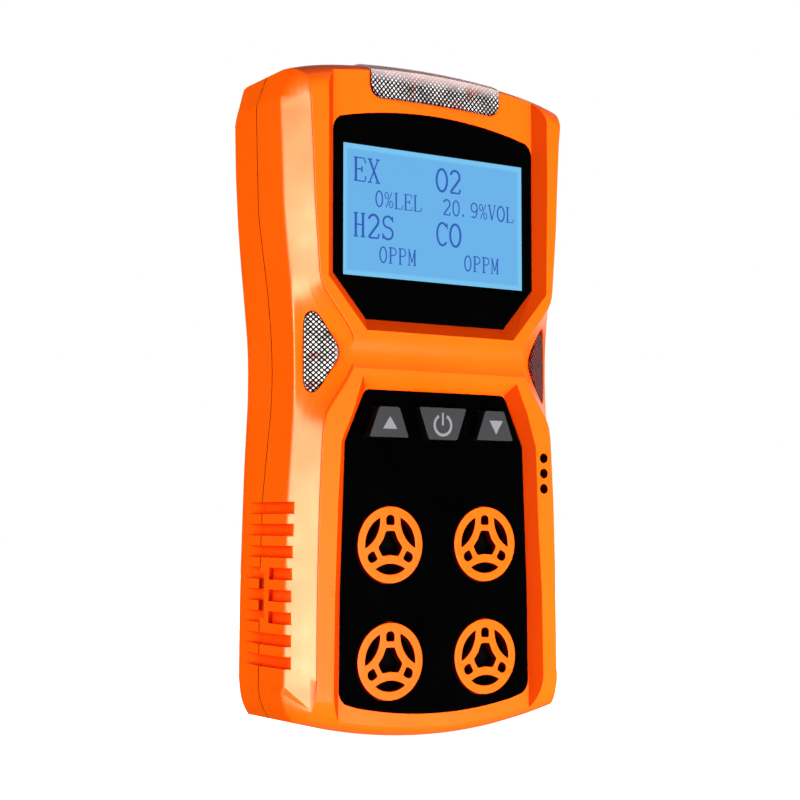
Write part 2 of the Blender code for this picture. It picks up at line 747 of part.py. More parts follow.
def front_housing(parts, cutters, look):
    body = loft("front_housing", [ring_at(y) for y in FRONT_RING_DEPTHS], parts, look)
    hollow = [ring_at(FRONT_WALL_Y, HOLLOW_FRONT[1]), ring_at(HOLLOW_FRONT[0], WALL), ring_at(1.0, WALL)]
    cut(body, loft("front_hollow", hollow, cutters))

    posts = []
    for x, z in (BOSS_TOP, BOSS_BOTTOM):
        for sign in (-1, 1):
            name = f"front_boss_{z:.0f}_{sign}"
            ends = ((sign * x, POST_FOOT_Y, z), (sign * x, -SEAM_Y, z))
            posts.append(cylinder(name, BOSS_R, *ends, cutters, None, 16))
    for (x, z), back in ((BOARD_POSTS_MAIN, MAIN_BOARD_Y[0]), (BOARD_POSTS_SENSOR, SENSOR_BOARD_Y[0])):
        for sign in (-1, 1):
            name = f"board_post_{z:.0f}_{sign}"
            ends = ((sign * x, POST_FOOT_Y, z), (sign * x, back - GAP, z))
            posts.append(cylinder(name, POST_R, *ends, cutters, None, 16))
    join(body, *posts)

    cut(body, channel_cutter("upper_channel", UPPER_FLOOR, UPPER_RIM, cutters))
    cut(body, channel_cutter("lower_channel", LOWER_FLOOR, LOWER_RIM, cutters))
    cut(body, plate("window_pocket", crowned_window(), PANEL_Y - 1.0, POCKET_Y, cutters))
    cut(body, plate("panel_pocket", crowned_panel(), PANEL_Y - 1.0, POCKET_Y, cutters))
    opening = (LCD_Z[0] - 0.8, LCD_Z[1] + 0.8)
    half = LCD_HALF + 0.6
    cut(body, block("display_opening", (-half, half), (POCKET_Y - 1.0, FRONT_WALL_Y + 1.0), opening, cutters))
    for name, outline in KEY_OUTLINES.items():
        hole = offset_outline(outline, GAP)
        cut(body, plate(name + "_opening", hole, POCKET_Y - 1.0, FRONT_WALL_Y + 1.0, cutters))
    for name, x, z in sensor_places():
        ends = ((x, POCKET_Y - 1.0, z), (x, FRONT_WALL_Y + 1.0, z))
        cut(body, cylinder(f"sensor_port_{name}", SENSOR_PORT_R, *ends, cutters, None, 24))

    radius = (GROOVE_HALF**2 + GROOVE_DEPTH**2) / (2 * GROOVE_DEPTH)
    axis_y = RAIL_Y + GROOVE_DEPTH - radius
    ends = ((-26.0, axis_y, GROOVE_Z), (26.0, axis_y, GROOVE_Z))
    cut(body, cylinder("bridge_groove", radius, *ends, cutters, None, 40))

    for i, z in enumerate(SOUND_HOLE_Z):
        ends = ((SOUND_HOLE_X, RAIL_Y - 1.0, z), (SOUND_HOLE_X, FRONT_WALL_Y + 1.0, z))
        cut(body, cylinder(f"sound_hole_{i}", SOUND_HOLE_R, *ends, cutters, None, 12))

    cut(body, crown_band("top_lens_pocket", TOP_LENS_HALF, LENS_THICKNESS, 1.5, GAP, cutters))
    cut(body, block("top_lamp_slot", *TOP_LAMP_SLOT, cutters))
    for side, tag in ((-1, "left"), (1, "right")):
        depth = (-LENS_THICKNESS, 3.0)
        cut(body, side_lens_body(f"{tag}_lens_pocket", side, depth, GAP, cutters))
        cut(body, side_lamp_slot(f"{tag}_lamp_slot", side, cutters))

    for x, z in (BOSS_TOP, BOSS_BOTTOM):
        for sign in (-1, 1):
            name = f"front_screw_hole_{z:.0f}_{sign}"
            cut(body, cylinder(name, SCREW_HOLE_R, (sign * x, -8.6, z), (sign * x, 1.0, z), cutters, None, 12))
    for (x, z), back in ((BOARD_POSTS_MAIN, MAIN_BOARD_Y[0]), (BOARD_POSTS_SENSOR, SENSOR_BOARD_Y[0])):
        for sign in (-1, 1):
            name = f"post_hole_{z:.0f}_{sign}"
            ends = ((sign * x, back - POST_HOLE_DEPTH, z), (sign * x, back + 1.0, z))
            cut(body, cylinder(name, POST_HOLE_R, *ends, cutters, None, 12))
    cut(body, *grip_cutters(cutters, front=True))
    groove = (GASKET_INSETS[0] - GASKET_CLEARANCE, GASKET_INSETS[1] + GASKET_CLEARANCE)
    cut(body, gasket_body("gasket_groove", *groove, GASKET_FRONT_Y - GAP, 1.0, cutters))
    merge_flat_faces(body)
    return body


def side_lamp_slot(name, side, cutters):
    """Light opening behind a waist lens."""
    x = tuple(sorted(side * edge for edge in SIDE_LAMP_SLOT_X))
    z = (GROOVE_Z - SIDE_LAMP_SLOT_HALF, GROOVE_Z + SIDE_LAMP_SLOT_HALF)
    return block(name, x, (SIDE_LAMP_SLOT_FRONT, FRONT_WALL_Y + 1.0), z, cutters)


def gasket_body(name, outer, inner, front, back, collection, look=None):
    """A flat ring that follows the rim of the shells between two insets from the outside."""
    rim = section(0.0)
    bm = bmesh.new()
    rows = []
    for inset, y in ((outer, front), (outer, back), (inner, back), (inner, front)):
        rows.append([bm.verts.new(Vector((x, y, z)) * MM) for x, z in offset_outline(rim, -inset)])
    count = len(rim)
    for first, second in zip(rows, rows[1:] + rows[:1]):
        for i in range(count):
            j = (i + 1) % count
            bm.faces.new((first[i], first[j], second[j], second[i]))
    return from_bmesh(name, bm, collection, look)


# --- Rear housing ---------------------------------------------------------------------------------------


def rear_housing(parts, cutters, look):
    body = loft("rear_housing", [ring_at(y) for y in REAR_RING_DEPTHS], parts, look)
    hollow = [ring_at(-1.0, WALL), ring_at(REAR_HOLLOW_Y, WALL), ring_at(REAR_WALL_Y, WALL)]
    cut(body, loft("rear_hollow", hollow, cutters))
    bosses = []
    for x, z in (BOSS_TOP, BOSS_BOTTOM):
        for sign in (-1, 1):
            name = f"rear_boss_{z:.0f}_{sign}"
            ends = ((sign * x, SEAM_Y, z), (sign * x, REAR_WALL_Y + 1.2, z))
            bosses.append(cylinder(name, REAR_BOSS_R, *ends, cutters, None, 16))
    for i, z in enumerate(CLIP_SCREW_Z):
        ends = ((0, CLIP_BOSS_FRONT_Y, z), (0, REAR_WALL_Y + 1.2, z))
        bosses.append(cylinder(f"clip_boss_{i}", CLIP_BOSS_R, *ends, cutters, None, 20))
    pad = rounded_rectangle(REAR_PAD_HALF, REAR_PAD_Z, REAR_PAD_CORNER)
    join(body, *bosses, plate("rear_pad", pad, REAR_Y - 0.5, REAR_Y + REAR_PAD_RISE, cutters))
    for x, z in (BOSS_TOP, BOSS_BOTTOM):
        for sign in (-1, 1):
            tag = f"{z:.0f}_{sign}"
            ends = ((sign * x, -1.0, z), (sign * x, REAR_Y + 1.0, z))
            cut(body, cylinder(f"rear_screw_hole_{tag}", SCREW_HOLE_R, *ends, cutters, None, 12))
            ends = ((sign * x, COUNTERBORE_Y, z), (sign * x, REAR_Y + 1.0, z))
            cut(body, cylinder(f"counterbore_{tag}", COUNTERBORE_R, *ends, cutters, None, 20))
    for i, z in enumerate(CLIP_SCREW_Z):
        ends = ((0, CLIP_BOSS_FRONT_Y + 0.6, z), (0, REAR_Y + 1.0, z))
        cut(body, cylinder(f"clip_screw_hole_{i}", SCREW_HOLE_R, *ends, cutters, None, 12))
    cut(body, block("cover_recess", COVER_RECESS_X, COVER_RECESS_Y, (-2.0, COVER_RECESS_Z), cutters))
    x, y = PORT_HALF
    port = ((-x - GAP, x + GAP), (PORT_Y - y - GAP, PORT_Y + y + GAP), (0.5, 4.0))
    cut(body, block("port_opening", *port, cutters))
    cut(body, *grip_cutters(cutters, front=False))
    merge_flat_faces(body)
    return body


# --- Front panel pieces ---------------------------------------------------------------------------------


def display_window(parts, look):
    return plate("display_window", crowned_window(INLAY_CLEARANCE), PANEL_Y, POCKET_Y - GAP, parts, look)


def keypad_panel(parts, cutters, look):
    panel = plate("keypad_panel", crowned_panel(INLAY_CLEARANCE), PANEL_Y, POCKET_Y - GAP, parts, look)
    for name, outline in KEY_OUTLINES.items():
        hole = offset_outline(outline, GAP)
        cut(panel, plate(name + "_panel_opening", hole, PANEL_Y - 1.0, POCKET_Y + 1.0, cutters))
    for name, x, z in sensor_places():
        ends = ((x, PANEL_Y - 1.0, z), (x, POCKET_Y + 1.0, z))
        cut(panel, cylinder(f"grille_opening_{name}", GRILLE_R + 0.25, *ends, cutters, None, 32))
    merge_flat_faces(panel)
    return panel


def key(name, parts, cutters, look):
    """A key cap with a flange behind the front wall, its origin on its own line of travel."""
    outline = KEY_OUTLINES[name]
    cap = plate(name, outline, KEY_FACE_Y, KEY_FLANGE_Y[0] + 0.4, parts, look)
    flange = plate(name + "_flange", offset_outline(outline, KEY_FLANGE_RIM), *KEY_FLANGE_Y, cutters)
    centre = Vector((sum(x for x, _ in outline) / 4, KEY_FACE_Y, sum(z for _, z in outline) / 4)) * MM
    cap.data.transform(Matrix.Translation(-centre))
    cap.location = centre
    join(cap, flange)
    return cap


def grille_mesh():
    """One grille as a plate with its openings, centred on the origin: shared by the four grilles."""
    tools = new_collection("grille_tools")
    body = plate("grille_blank", circle((0, 0), GRILLE_R, 36), *GRILLE_Y, tools)
    for k in range(3):
        wide = math.radians(-90 + 120 * k)
        narrow = math.radians(90 + 120 * k)
        cut(body, plate(f"vesica_{k}", vesica(wide), GRILLE_Y[0] - 1, GRILLE_Y[1] + 1, tools))
        cut(body, plate(f"slot_{k}", slot(narrow), GRILLE_Y[0] - 1, GRILLE_Y[1] + 1, tools))
    cut(body, plate("centre_hole", centre_hole(), GRILLE_Y[0] - 1, GRILLE_Y[1] + 1, tools))
    merge_flat_faces(body)
    bpy.context.view_layer.update()
    mesh = bpy.data.meshes.new_from_object(body.evaluated_get(bpy.context.evaluated_depsgraph_get()))
    for tool in list(tools.objects):
        bpy.data.objects.remove(tool)
    bpy.data.collections.remove(tools)
    return mesh


def turn_outline(outline, angle):
    c, s = math.cos(angle), math.sin(angle)
    return [(x * c - z * s, x * s + z * c) for x, z in outline]


def vesica(angle):
    """Opening between the ring and a circle centred outside it, pointing along angle."""
    d, big, small = GRILLE_LENS_OFFSET, GRILLE_RING_R, GRILLE_LENS_R
    reach = (d * d + big * big - small * small) / (2 * d)
    half = math.degrees(math.acos(reach / big)) - 3.0
    back = math.degrees(math.acos((d - reach) / small)) - 3.0
    outer = arc((0, 0), big, -half, half, 6)
    inner = arc((d, 0), small, 180 - back, 180 + back, 6)
    return turn_outline(outer + inner, angle)


def slot(angle):
    """Small rounded opening in a spoke."""
    half_r, half_t, r = 0.8, 1.0, 0.45
    corners = ((1, 1, 0), (-1, 1, 90), (-1, -1, 180), (1, -1, 270))
    outline = []
    for sx, sz, first in corners:
        centre = (GRILLE_SLOT_OFFSET + sx * (half_r - r), sz * (half_t - r))
        outline += arc(centre, r, first + 15, first + 75, 2)
    return turn_outline(outline, angle)


def centre_hole():
    """Three-sided hole with blunt tips towards the slots and hollow sides."""
    outline = []
    for k in range(3):
        tip = [(GRILLE_HOLE_TIP, -GRILLE_HOLE_TIP_HALF), (GRILLE_HOLE_TIP, GRILLE_HOLE_TIP_HALF)]
        side = [(GRILLE_HOLE_SIDE, 0.0)]
        outline += turn_outline(tip, math.radians(90 + 120 * k))
        outline += turn_outline(side, math.radians(150 + 120 * k))
    return outline


def grilles(parts, look):
    mesh = grille_mesh()
    mesh.materials.clear()
    mesh.materials.append(look)
    for name, x, z in sensor_places():
        made = add_object(f"sensor_grille_{name}", mesh, parts)
        made.location = (x * MM, 0.0, z * MM)


def alarm_lenses(parts, look):
    top = crown_band("alarm_lens_top", TOP_LENS_HALF, LENS_THICKNESS - GAP, LENS_PROUD, 0.0, parts, look)
    depth = (-LENS_THICKNESS + GAP, LENS_PROUD)
    left = side_lens_body("alarm_lens_left", -1, depth, 0.0, parts, look)
    right = side_lens_body("alarm_lens_right", 1, depth, 0.0, parts, look)
    return top, left, right


# --- Inside ---------------------------------------------------------------------------------------------


def gas_sensors(parts, cell_look, filter_look):
    front, back = SENSOR_Y
    cell = [
        (0.0, back),
        (SENSOR_R, back),
        (SENSOR_R, front + 0.8),
        (SENSOR_R - 0.8, front),
        (5.0, front),
        (5.0, front + 0.8),
        (0.0, front + 0.8),
    ]
    disc = [(0.0, -10.5), (FILTER_R, -10.5), (FILTER_R, -11.7), (0.0, -11.7)]
    for name, x, z in sensor_places():
        turned(f"gas_sensor_{name}", cell, (x, z), parts, cell_look, 28)
        turned(f"sensor_filter_{name}", disc, (x, z), parts, filter_look, 24)


def boards(parts, cutters, look, connector_look):
    outline = mirrored([(22.0, 113.9), (25.5, 110.4), (25.5, 52.0), (20.0, 47.4)])
    main = plate("main_board", outline, *MAIN_BOARD_Y, parts, look)
    outline = mirrored([(24.0, 54.0), (26.6, 51.4), (26.6, 16.0), (20.0, 10.5), (20.0, 4.4)])
    sensor = plate("sensor_board", outline, *SENSOR_BOARD_Y, parts, look)
    places = ((main, BOARD_POSTS_MAIN, MAIN_BOARD_Y), (sensor, BOARD_POSTS_SENSOR, SENSOR_BOARD_Y))
    for board, (x, z), y in places:
        for sign in (-1, 1):
            name = f"{board.name}_hole_{sign}"
            ends = ((sign * x, y[0] - 1, z), (sign * x, y[1] + 1, z))
            cut(board, cylinder(name, BOARD_HOLE_R, *ends, cutters, None, 16))
    connector = (MAIN_BOARD_Y[1] + GAP, SENSOR_BOARD_Y[0] - GAP)
    width = (-CONNECTOR_HALF, CONNECTOR_HALF)
    made = block("board_connector", width, connector, CONNECTOR_Z, parts, connector_look)
    bevel(made, 0.3)


def display_parts(parts, lcd_look, light_look):
    half, (low, high) = LCD_HALF, LCD_Z
    z = (low - 3.0, high + 1.6)
    lcd = block("lcd_module", (-half - 2.7, half + 2.7), LCD_Y, z, parts, lcd_look)
    bevel(lcd, 0.3)
    z = (low - 2.0, high + 1.0)
    light = block("lcd_backlight", (-half - 1.6, half + 1.6), BACKLIGHT_Y, z, parts, light_look)
    bevel(light, 0.3)


def key_switches(parts, cutters, look):
    for name, x in KEY_SWITCH_X.items():
        z = KEY_SWITCH_Z
        base = block(name, (x - 2.6, x + 2.6), (-6.8, MAIN_BOARD_Y[0] - GAP), (z - 2.6, z + 2.6), parts, look)
        plunger = cylinder(name + "_plunger", 1.5, (x, -8.3, z), (x, -6.3, z), cutters, None, 20)
        join(base, plunger)


def power_and_alarm(parts, looks):
    x, z = BUZZER_CENTRE
    front, back = BUZZER_Y
    chamfer, hole_r, hole_depth = 0.3, 1.0, 0.7
    buzzer = [
        (0, back),
        (BUZZER_R, back),
        (BUZZER_R, front + chamfer),
        (BUZZER_R - chamfer, front),
        (hole_r, front),
        (hole_r, front + hole_depth),
        (0, front + hole_depth),
    ]
    turned("buzzer", buzzer, (x, z), parts, looks["black"], 24)
    front, back = MOTOR_Y
    motor = [(0, back), (MOTOR_R - chamfer, back), (MOTOR_R, back - chamfer), (MOTOR_R, front), (0, front)]
    turned("vibration_motor", motor, MOTOR_CENTRE, parts, looks["steel"], 24)
    pack = block("battery", *BATTERY, parts, looks["battery"])
    bevel(pack, BATTERY_CORNER, segments=3)
    block("battery_pad", *FOAM_PAD, parts, looks["foam"])
    y = PORT_HALF[1]
    x = PORT_HALF[0]
    port = block("charging_port", (-x, x), (PORT_Y - y, PORT_Y + y), (2.7, 8.3), parts, looks["steel"])
    bevel(port, 0.5, segments=2)


def alarm_boards(parts, cutters, board_look):
    """A small board with lamps behind each alarm lens."""
    top = block("alarm_board_top", *TOP_ALARM_BOARD, parts, board_look)
    for i, x in enumerate(TOP_LAMP_X):
        width = (x - TOP_LAMP_HALF, x + TOP_LAMP_HALF)
        join(top, block(f"top_lamp_{i}", width, TOP_LAMP_Y, TOP_LAMP_Z, cutters))
    for side, tag in ((-1, "left"), (1, "right")):
        x = tuple(sorted(side * edge for edge in SIDE_ALARM_BOARD_X))
        board = block(f"alarm_board_{tag}", x, SIDE_ALARM_BOARD_Y, SIDE_ALARM_BOARD_Z, parts, board_look)
        x = tuple(sorted(side * edge for edge in SIDE_LAMP_X))
        z = (GROOVE_Z - SIDE_LAMP_HALF, GROOVE_Z + SIDE_LAMP_HALF)
        join(board, block(f"{tag}_lamp", x, SIDE_LAMP_Y, z, cutters))


# --- Fasteners, clip and port cover ---------------------------------------------------------------------


def screw(name, x, z, head_y, tip_y, shaft_r, head_r, head_h, parts, look):
    """A pan-head screw along Y, with its head at the back and a recess in it."""
    profile = [
        (0.0, head_y + head_h * 0.45),
        (head_r * 0.42, head_y + head_h * 0.45),
        (head_r * 0.42, head_y + head_h),
        (head_r, head_y + head_h * 0.7),
        (head_r, head_y),
        (shaft_r, head_y),
        (shaft_r, tip_y),
        (0.0, tip_y),
    ]
    return turned(name, profile, (x, z), parts, look, 14)


def fasteners(parts, look):
    corners = {
        "top_left": (-BOSS_TOP[0], BOSS_TOP[1]),
        "top_right": BOSS_TOP,
        "bottom_left": (-BOSS_BOTTOM[0], BOSS_BOTTOM[1]),
        "bottom_right": BOSS_BOTTOM,
    }
    for tag, (x, z) in corners.items():
        screw(f"housing_screw_{tag}", x, z, COUNTERBORE_Y + GAP, -8.0, SCREW_R, SCREW_HEAD_R, 1.7, parts, look)
    for board, (x, z), back in (
        ("main", BOARD_POSTS_MAIN, MAIN_BOARD_Y[1]),
        ("sensor", BOARD_POSTS_SENSOR, SENSOR_BOARD_Y[1]),
    ):
        for sign, side in ((-1, "left"), (1, "right")):
            head = back + GAP
            sizes = (head, head - BOARD_SCREW_LENGTH, BOARD_SCREW_R, BOARD_SCREW_HEAD_R, 1.2)
            screw(f"{board}_board_screw_{side}", sign * x, z, *sizes, parts, look)
    for i, z in enumerate(CLIP_SCREW_Z):
        side = ("lower", "upper")[i]
        sizes = (REAR_Y + GAP + CLIP_SHEET + GAP, CLIP_SCREW_TIP_Y, SCREW_R, SCREW_HEAD_R, 1.4)
        screw(f"clip_screw_{side}", 0.0, z, *sizes, parts, look)


def yz_plate(name, outline, x_low, x_high, collection, look=None):
    """A flat outline in Y and Z with a thickness along X."""
    made = plate(name, outline, x_low, x_high, collection, look)
    swap = Matrix(((0, 1, 0, 0), (1, 0, 0, 0), (0, 0, 1, 0), (0, 0, 0, 1)))
    made.data.transform(swap)
    made.data.flip_normals()
    return made


def clip_base(parts, cutters, look):
    """Stamped bracket screwed to the rear housing, with two ears that hold the pin."""
    front = REAR_Y + GAP
    back = front + CLIP_SHEET
    half = CLIP_BASE_HALF
    base = plate("clip_base", rounded_rectangle(half, CLIP_BASE_Z, 2.0), front, back, parts, look)
    pivot = (CLIP_PIVOT.y, CLIP_PIVOT.z)
    for sign in (-1, 1):
        x = tuple(sorted((sign * (half - CLIP_SHEET), sign * half)))
        ear = arc(pivot, 3.2, -75, 75, 6) + [(front + 0.4, pivot[1] + 6.0), (front + 0.4, pivot[1] - 6.0)]
        join(base, yz_plate(f"clip_base_ear_{sign}", ear, *x, cutters))
    ends = ((-half - 2.0, *pivot), (half + 2.0, *pivot))
    cut(base, cylinder("clip_base_pin_hole", CLIP_PIN_HOLE_R, *ends, cutters, None, 18))
    for i, z in enumerate(CLIP_SCREW_Z):
        cut(base, cylinder(f"clip_base_hole_{i}", 1.5, (0, front - 1, z), (0, back + 1, z), cutters, None, 12))
    return base


def sheet_outline(line, thickness):
    """A band of the given thickness on the inner side of a bent line."""
    inner = []
    for i, here in enumerate(line):
        here = Vector(here)
        before = Vector(line[max(0, i - 1)])
        after = Vector(line[min(len(line) - 1, i + 1)])
        first = (here - before).normalized() if i else (after - here).normalized()
        second = (after - here).normalized() if i < len(line) - 1 else first
        normal = (Vector((first.y, -first.x)) + Vector((second.y, -second.x))).normalized()
        shift = thickness / max(0.5, normal.dot(Vector((first.y, -first.x))))
        inner.append(tuple(here + normal * shift))
    return list(line) + inner[::-1]


def belt_clip(parts, cutters, look):
    """Spring lever: a bent plate with a thumb pad at the top, a toe at the bottom and two ears on the pin."""
    profile = sheet_outline(CLIP_SIDE_LINE, CLIP_SHEET)
    lever = yz_plate("belt_clip", profile, -CLIP_HALF, CLIP_HALF, parts, look)
    pivot = (CLIP_PIVOT.y, CLIP_PIVOT.z)
    inner = CLIP_BACK_Y - CLIP_SHEET / 2
    for sign in (-1, 1):
        x = tuple(sorted((sign * (CLIP_HALF - 0.15 - CLIP_SHEET), sign * (CLIP_HALF - 0.15))))
        ear = arc(pivot, 3.4, 110, 250, 6) + [(inner, pivot[1] - 6.5), (inner, pivot[1] + 11.0)]
        join(lever, yz_plate(f"clip_ear_{sign}", ear, *x, cutters))
    ends = ((-CLIP_HALF - 2.0, *pivot), (CLIP_HALF + 2.0, *pivot))
    cut(lever, cylinder("clip_pin_hole", CLIP_PIN_HOLE_R, *ends, cutters, None, 16))
    origin = CLIP_PIVOT * MM
    lever.data.transform(Matrix.Translation(-origin))
    lever.location = origin
    return lever


def clip_pin(parts, cutters, look):
    pivot = (CLIP_PIVOT.y, CLIP_PIVOT.z)
    reach = CLIP_HALF + GAP
    pin = cylinder("clip_pin", CLIP_PIN_R, (-reach - 0.4, *pivot), (reach + 0.4, *pivot), parts, look, 16)
    for sign in (-1, 1):
        ends = ((sign * reach, *pivot), (sign * (reach + 0.8), *pivot))
        join(pin, cylinder(f"clip_pin_head_{sign}", 2.4, *ends, cutters, None, 16))
    return pin


def clip_spring(parts, look):
    """Torsion spring around the pin: one leg on the base, the other under the thumb pad."""
    coil_r = 2.5
    wire_r = 0.4
    turns = 4.5
    per_turn = 10
    length = 9.0
    y, z = CLIP_PIVOT.y, CLIP_PIVOT.z
    base_leg_y = REAR_Y + GAP + CLIP_SHEET + GAP + wire_r
    pad_leg_y = CLIP_BACK_Y - CLIP_SHEET - GAP - wire_r
    points = [(-length / 2, base_leg_y, z + 6.5), (-length / 2, base_leg_y, z + 3.5)]
    first = math.pi
    count = int(turns * per_turn)
    for i in range(count + 1):
        angle = first + 2 * math.pi * i / per_turn
        x = mix(-length / 2, length / 2, i / count)
        points.append((x, y + coil_r * math.cos(angle), z + coil_r * math.sin(angle)))
    x = length / 2
    points += [(x, pad_leg_y - 2.0, z + 5.0), (x, pad_leg_y, z + 8.0), (x, pad_leg_y, z + 16.0)]
    return tube("clip_spring", points, wire_r, parts, look)


def port_cover(parts, cutters, look):
    """Rubber flap in the sole with a plug that fills the port opening, its origin on its strap."""
    cover = block("port_cover", COVER_X, COVER_Y, (0.2, COVER_RECESS_Z - GAP), parts, look)
    x, y = PORT_HALF
    plug = block("port_plug", (-x + 0.2, x - 0.2), (PORT_Y - y + 0.1, PORT_Y + y - 0.1), (0.8, 2.3), cutters)
    join(cover, plug)
    origin = COVER_HINGE * MM
    cover.data.transform(Matrix.Translation(-origin))
    cover.location = origin
    return cover


# --- Assembly -------------------------------------------------------------------------------------------


def make_looks():
    return {
        "orange": material("orange_plastic", (0.95, 0.13, 0.01), 0.32),
        "black": material("black_plastic", (0.012, 0.012, 0.013), 0.3),
        "window": material("window_black", (0.006, 0.006, 0.007), 0.12),
        "key": material("key_grey", (0.07, 0.07, 0.075), 0.5),
        "lens": material("alarm_lens", (0.85, 0.85, 0.86), 0.15),
        "lcd": material("display_blue", (0.15, 0.45, 0.8), 0.3),
        "light": material("light_guide", (0.9, 0.93, 0.95), 0.4),
        "board": material("circuit_board", (0.02, 0.18, 0.07), 0.5),
        "steel": material("steel", (0.6, 0.6, 0.62), 0.3, 1.0),
        "spring": material("spring_steel", (0.45, 0.45, 0.47), 0.35, 1.0),
        "cell": material("sensor_cell", (0.75, 0.76, 0.74), 0.45),
        "filter": material("filter_black", (0.02, 0.02, 0.022), 0.85),
        "gasket": material("gasket_rubber", (0.02, 0.02, 0.02), 0.75),
        "battery": material("battery_wrap", (0.1, 0.2, 0.45), 0.5),
        "foam": material("foam", (0.05, 0.05, 0.05), 0.95),
    }


def build():
    clear_scene()
    parts = new_collection("portable_gas_detector")
    cutters = new_collection("cutters")
    looks = make_looks()
    front_housing(parts, cutters, looks["orange"])
    rear_housing(parts, cutters, looks["orange"])
    gasket_body("housing_gasket", *GASKET_INSETS, GASKET_FRONT_Y, -SEAM_Y, parts, looks["gasket"])
    display_window(parts, looks["window"])
    keypad_panel(parts, cutters, looks["black"])
    for name in KEY_OUTLINES:
        key(name, parts, cutters, looks["key"])
    grilles(parts, looks["orange"])
    alarm_lenses(parts, looks["lens"])
    gas_sensors(parts, looks["cell"], looks["filter"])
    boards(parts, cutters, looks["board"], looks["black"])
    display_parts(parts, looks["lcd"], looks["light"])
    key_switches(parts, cutters, looks["steel"])
    power_and_alarm(parts, looks)
    alarm_boards(parts, cutters, looks["board"])
    fasteners(parts, looks["steel"])
    clip_base(parts, cutters, looks["steel"])
    belt_clip(parts, cutters, looks["steel"])
    clip_pin(parts, cutters, looks["steel"])
    clip_spring(parts, looks["spring"])
    port_cover(parts, cutters, looks["gasket"])
    origin = bpy.data.objects.new("assembly_origin", None)
    parts.objects.link(origin)
    origin.location.y = -MIDDLE_Y * MM
    for made in list(parts.objects) + list(cutters.objects):
        if made is not origin:
            made.parent = origin
    for tool in cutters.objects:
        tool.hide_render = True
        tool.display_type = "WIRE"
    for made in parts.objects:
        if made.type == "MESH":
            shade(made)


build()
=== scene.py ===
import json
import math

import bmesh
import bpy
from mathutils import Matrix, Vector

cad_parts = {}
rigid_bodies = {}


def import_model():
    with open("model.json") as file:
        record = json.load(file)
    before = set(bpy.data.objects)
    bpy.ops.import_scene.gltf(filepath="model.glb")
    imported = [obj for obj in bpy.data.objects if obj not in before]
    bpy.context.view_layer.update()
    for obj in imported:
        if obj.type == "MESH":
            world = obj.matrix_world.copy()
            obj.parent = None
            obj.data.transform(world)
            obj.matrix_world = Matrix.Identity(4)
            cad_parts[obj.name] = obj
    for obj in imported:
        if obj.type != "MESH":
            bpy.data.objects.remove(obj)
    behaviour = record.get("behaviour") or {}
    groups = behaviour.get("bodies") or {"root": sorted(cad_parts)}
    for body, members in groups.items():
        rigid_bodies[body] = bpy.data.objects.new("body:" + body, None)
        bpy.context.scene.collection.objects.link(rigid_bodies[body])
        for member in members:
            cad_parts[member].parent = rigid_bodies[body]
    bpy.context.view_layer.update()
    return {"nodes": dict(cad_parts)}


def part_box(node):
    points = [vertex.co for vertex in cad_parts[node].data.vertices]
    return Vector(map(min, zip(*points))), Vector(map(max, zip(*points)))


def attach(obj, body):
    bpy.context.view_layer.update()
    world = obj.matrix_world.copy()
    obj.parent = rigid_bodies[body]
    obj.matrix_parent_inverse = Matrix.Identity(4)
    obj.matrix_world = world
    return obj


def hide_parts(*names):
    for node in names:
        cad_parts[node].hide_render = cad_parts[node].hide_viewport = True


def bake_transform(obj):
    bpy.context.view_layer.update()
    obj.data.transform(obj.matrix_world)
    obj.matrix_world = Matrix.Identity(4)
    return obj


# Looks of the portable gas detector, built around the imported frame. Lengths are millimetres. Pieces are
# modelled with the parting plane of the shells at Y = 0, X across and Z up; piece() sets them into the frame.

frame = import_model()

MM = 0.001
PARTING_GAP = 0.15
SEAM_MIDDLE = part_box("rear_housing")[0].y - PARTING_GAP * MM
INTO_FRAME = Matrix.Translation((0.0, SEAM_MIDDLE, 0.0)) @ Matrix.Diagonal((MM, MM, MM, 1.0))


def span(node):
    """Lowest and highest corner of a frame node, in millimetres from the parting plane."""
    low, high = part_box(node)
    shift = Vector((0.0, SEAM_MIDDLE, 0.0))
    return (low - shift) / MM, (high - shift) / MM


# --- Sizes taken from the frame -------------------------------------------------------------------------

FRONT_LOW, FRONT_HIGH = span("front_housing")
REAR_PAD_Y = span("rear_housing")[1].y
WINDOW_LOW, WINDOW_HIGH = span("display_window")
PANEL_LOW, PANEL_HIGH = span("keypad_panel")
KEY_LOW, KEY_HIGH = span("key_power")
LENS_LOW, LENS_HIGH = span("alarm_lens_top")
LCD_LOW, LCD_HIGH = span("lcd_module")
PIN_LOW, PIN_HIGH = span("clip_pin")
BASE_Y = span("clip_base")[0].y
LEVER_LOW, LEVER_HIGH = span("belt_clip")
PORT_LOW, PORT_HIGH = span("charging_port")

HEIGHT = FRONT_HIGH.z
RAIL_Y = FRONT_LOW.y
PANEL_Y = WINDOW_LOW.y
INLAY_GAP = 0.12
LENS_GAP = 0.15
POCKET_Y = WINDOW_HIGH.y + 0.3
FRONT_WALL_Y = -10.4
WALL = 2.2
SEAM = 0.14
SOFT_EDGE = 0.16

# --- Outline of the shells ------------------------------------------------------------------------------

SHOULDER_Y = -9.74
LEDGE = 0.5
EDGE_ROUND = 0.3
SHOULDER_ROUND = 0.35
ROUND_Y = 8.6
REAR_Y = 14.2
REAR_WALL_Y = 11.8
REAR_BEVEL = 4.5
REAR_SOLE_BEVEL = 1.8
HEEL_Y = 12.4
CROWN_SAG = 3.6
CROWN_HALF = 30.9
CROWN_CORNER_SHARE = 0.25
CROWN_DROP = 5.9
CROWN_DEPTH = 9.0
SOLE_SAG = 3.9
SOLE_HALF = 29.1
SOLE_RISE = 8.0
SOLE_DEPTH = 5.6

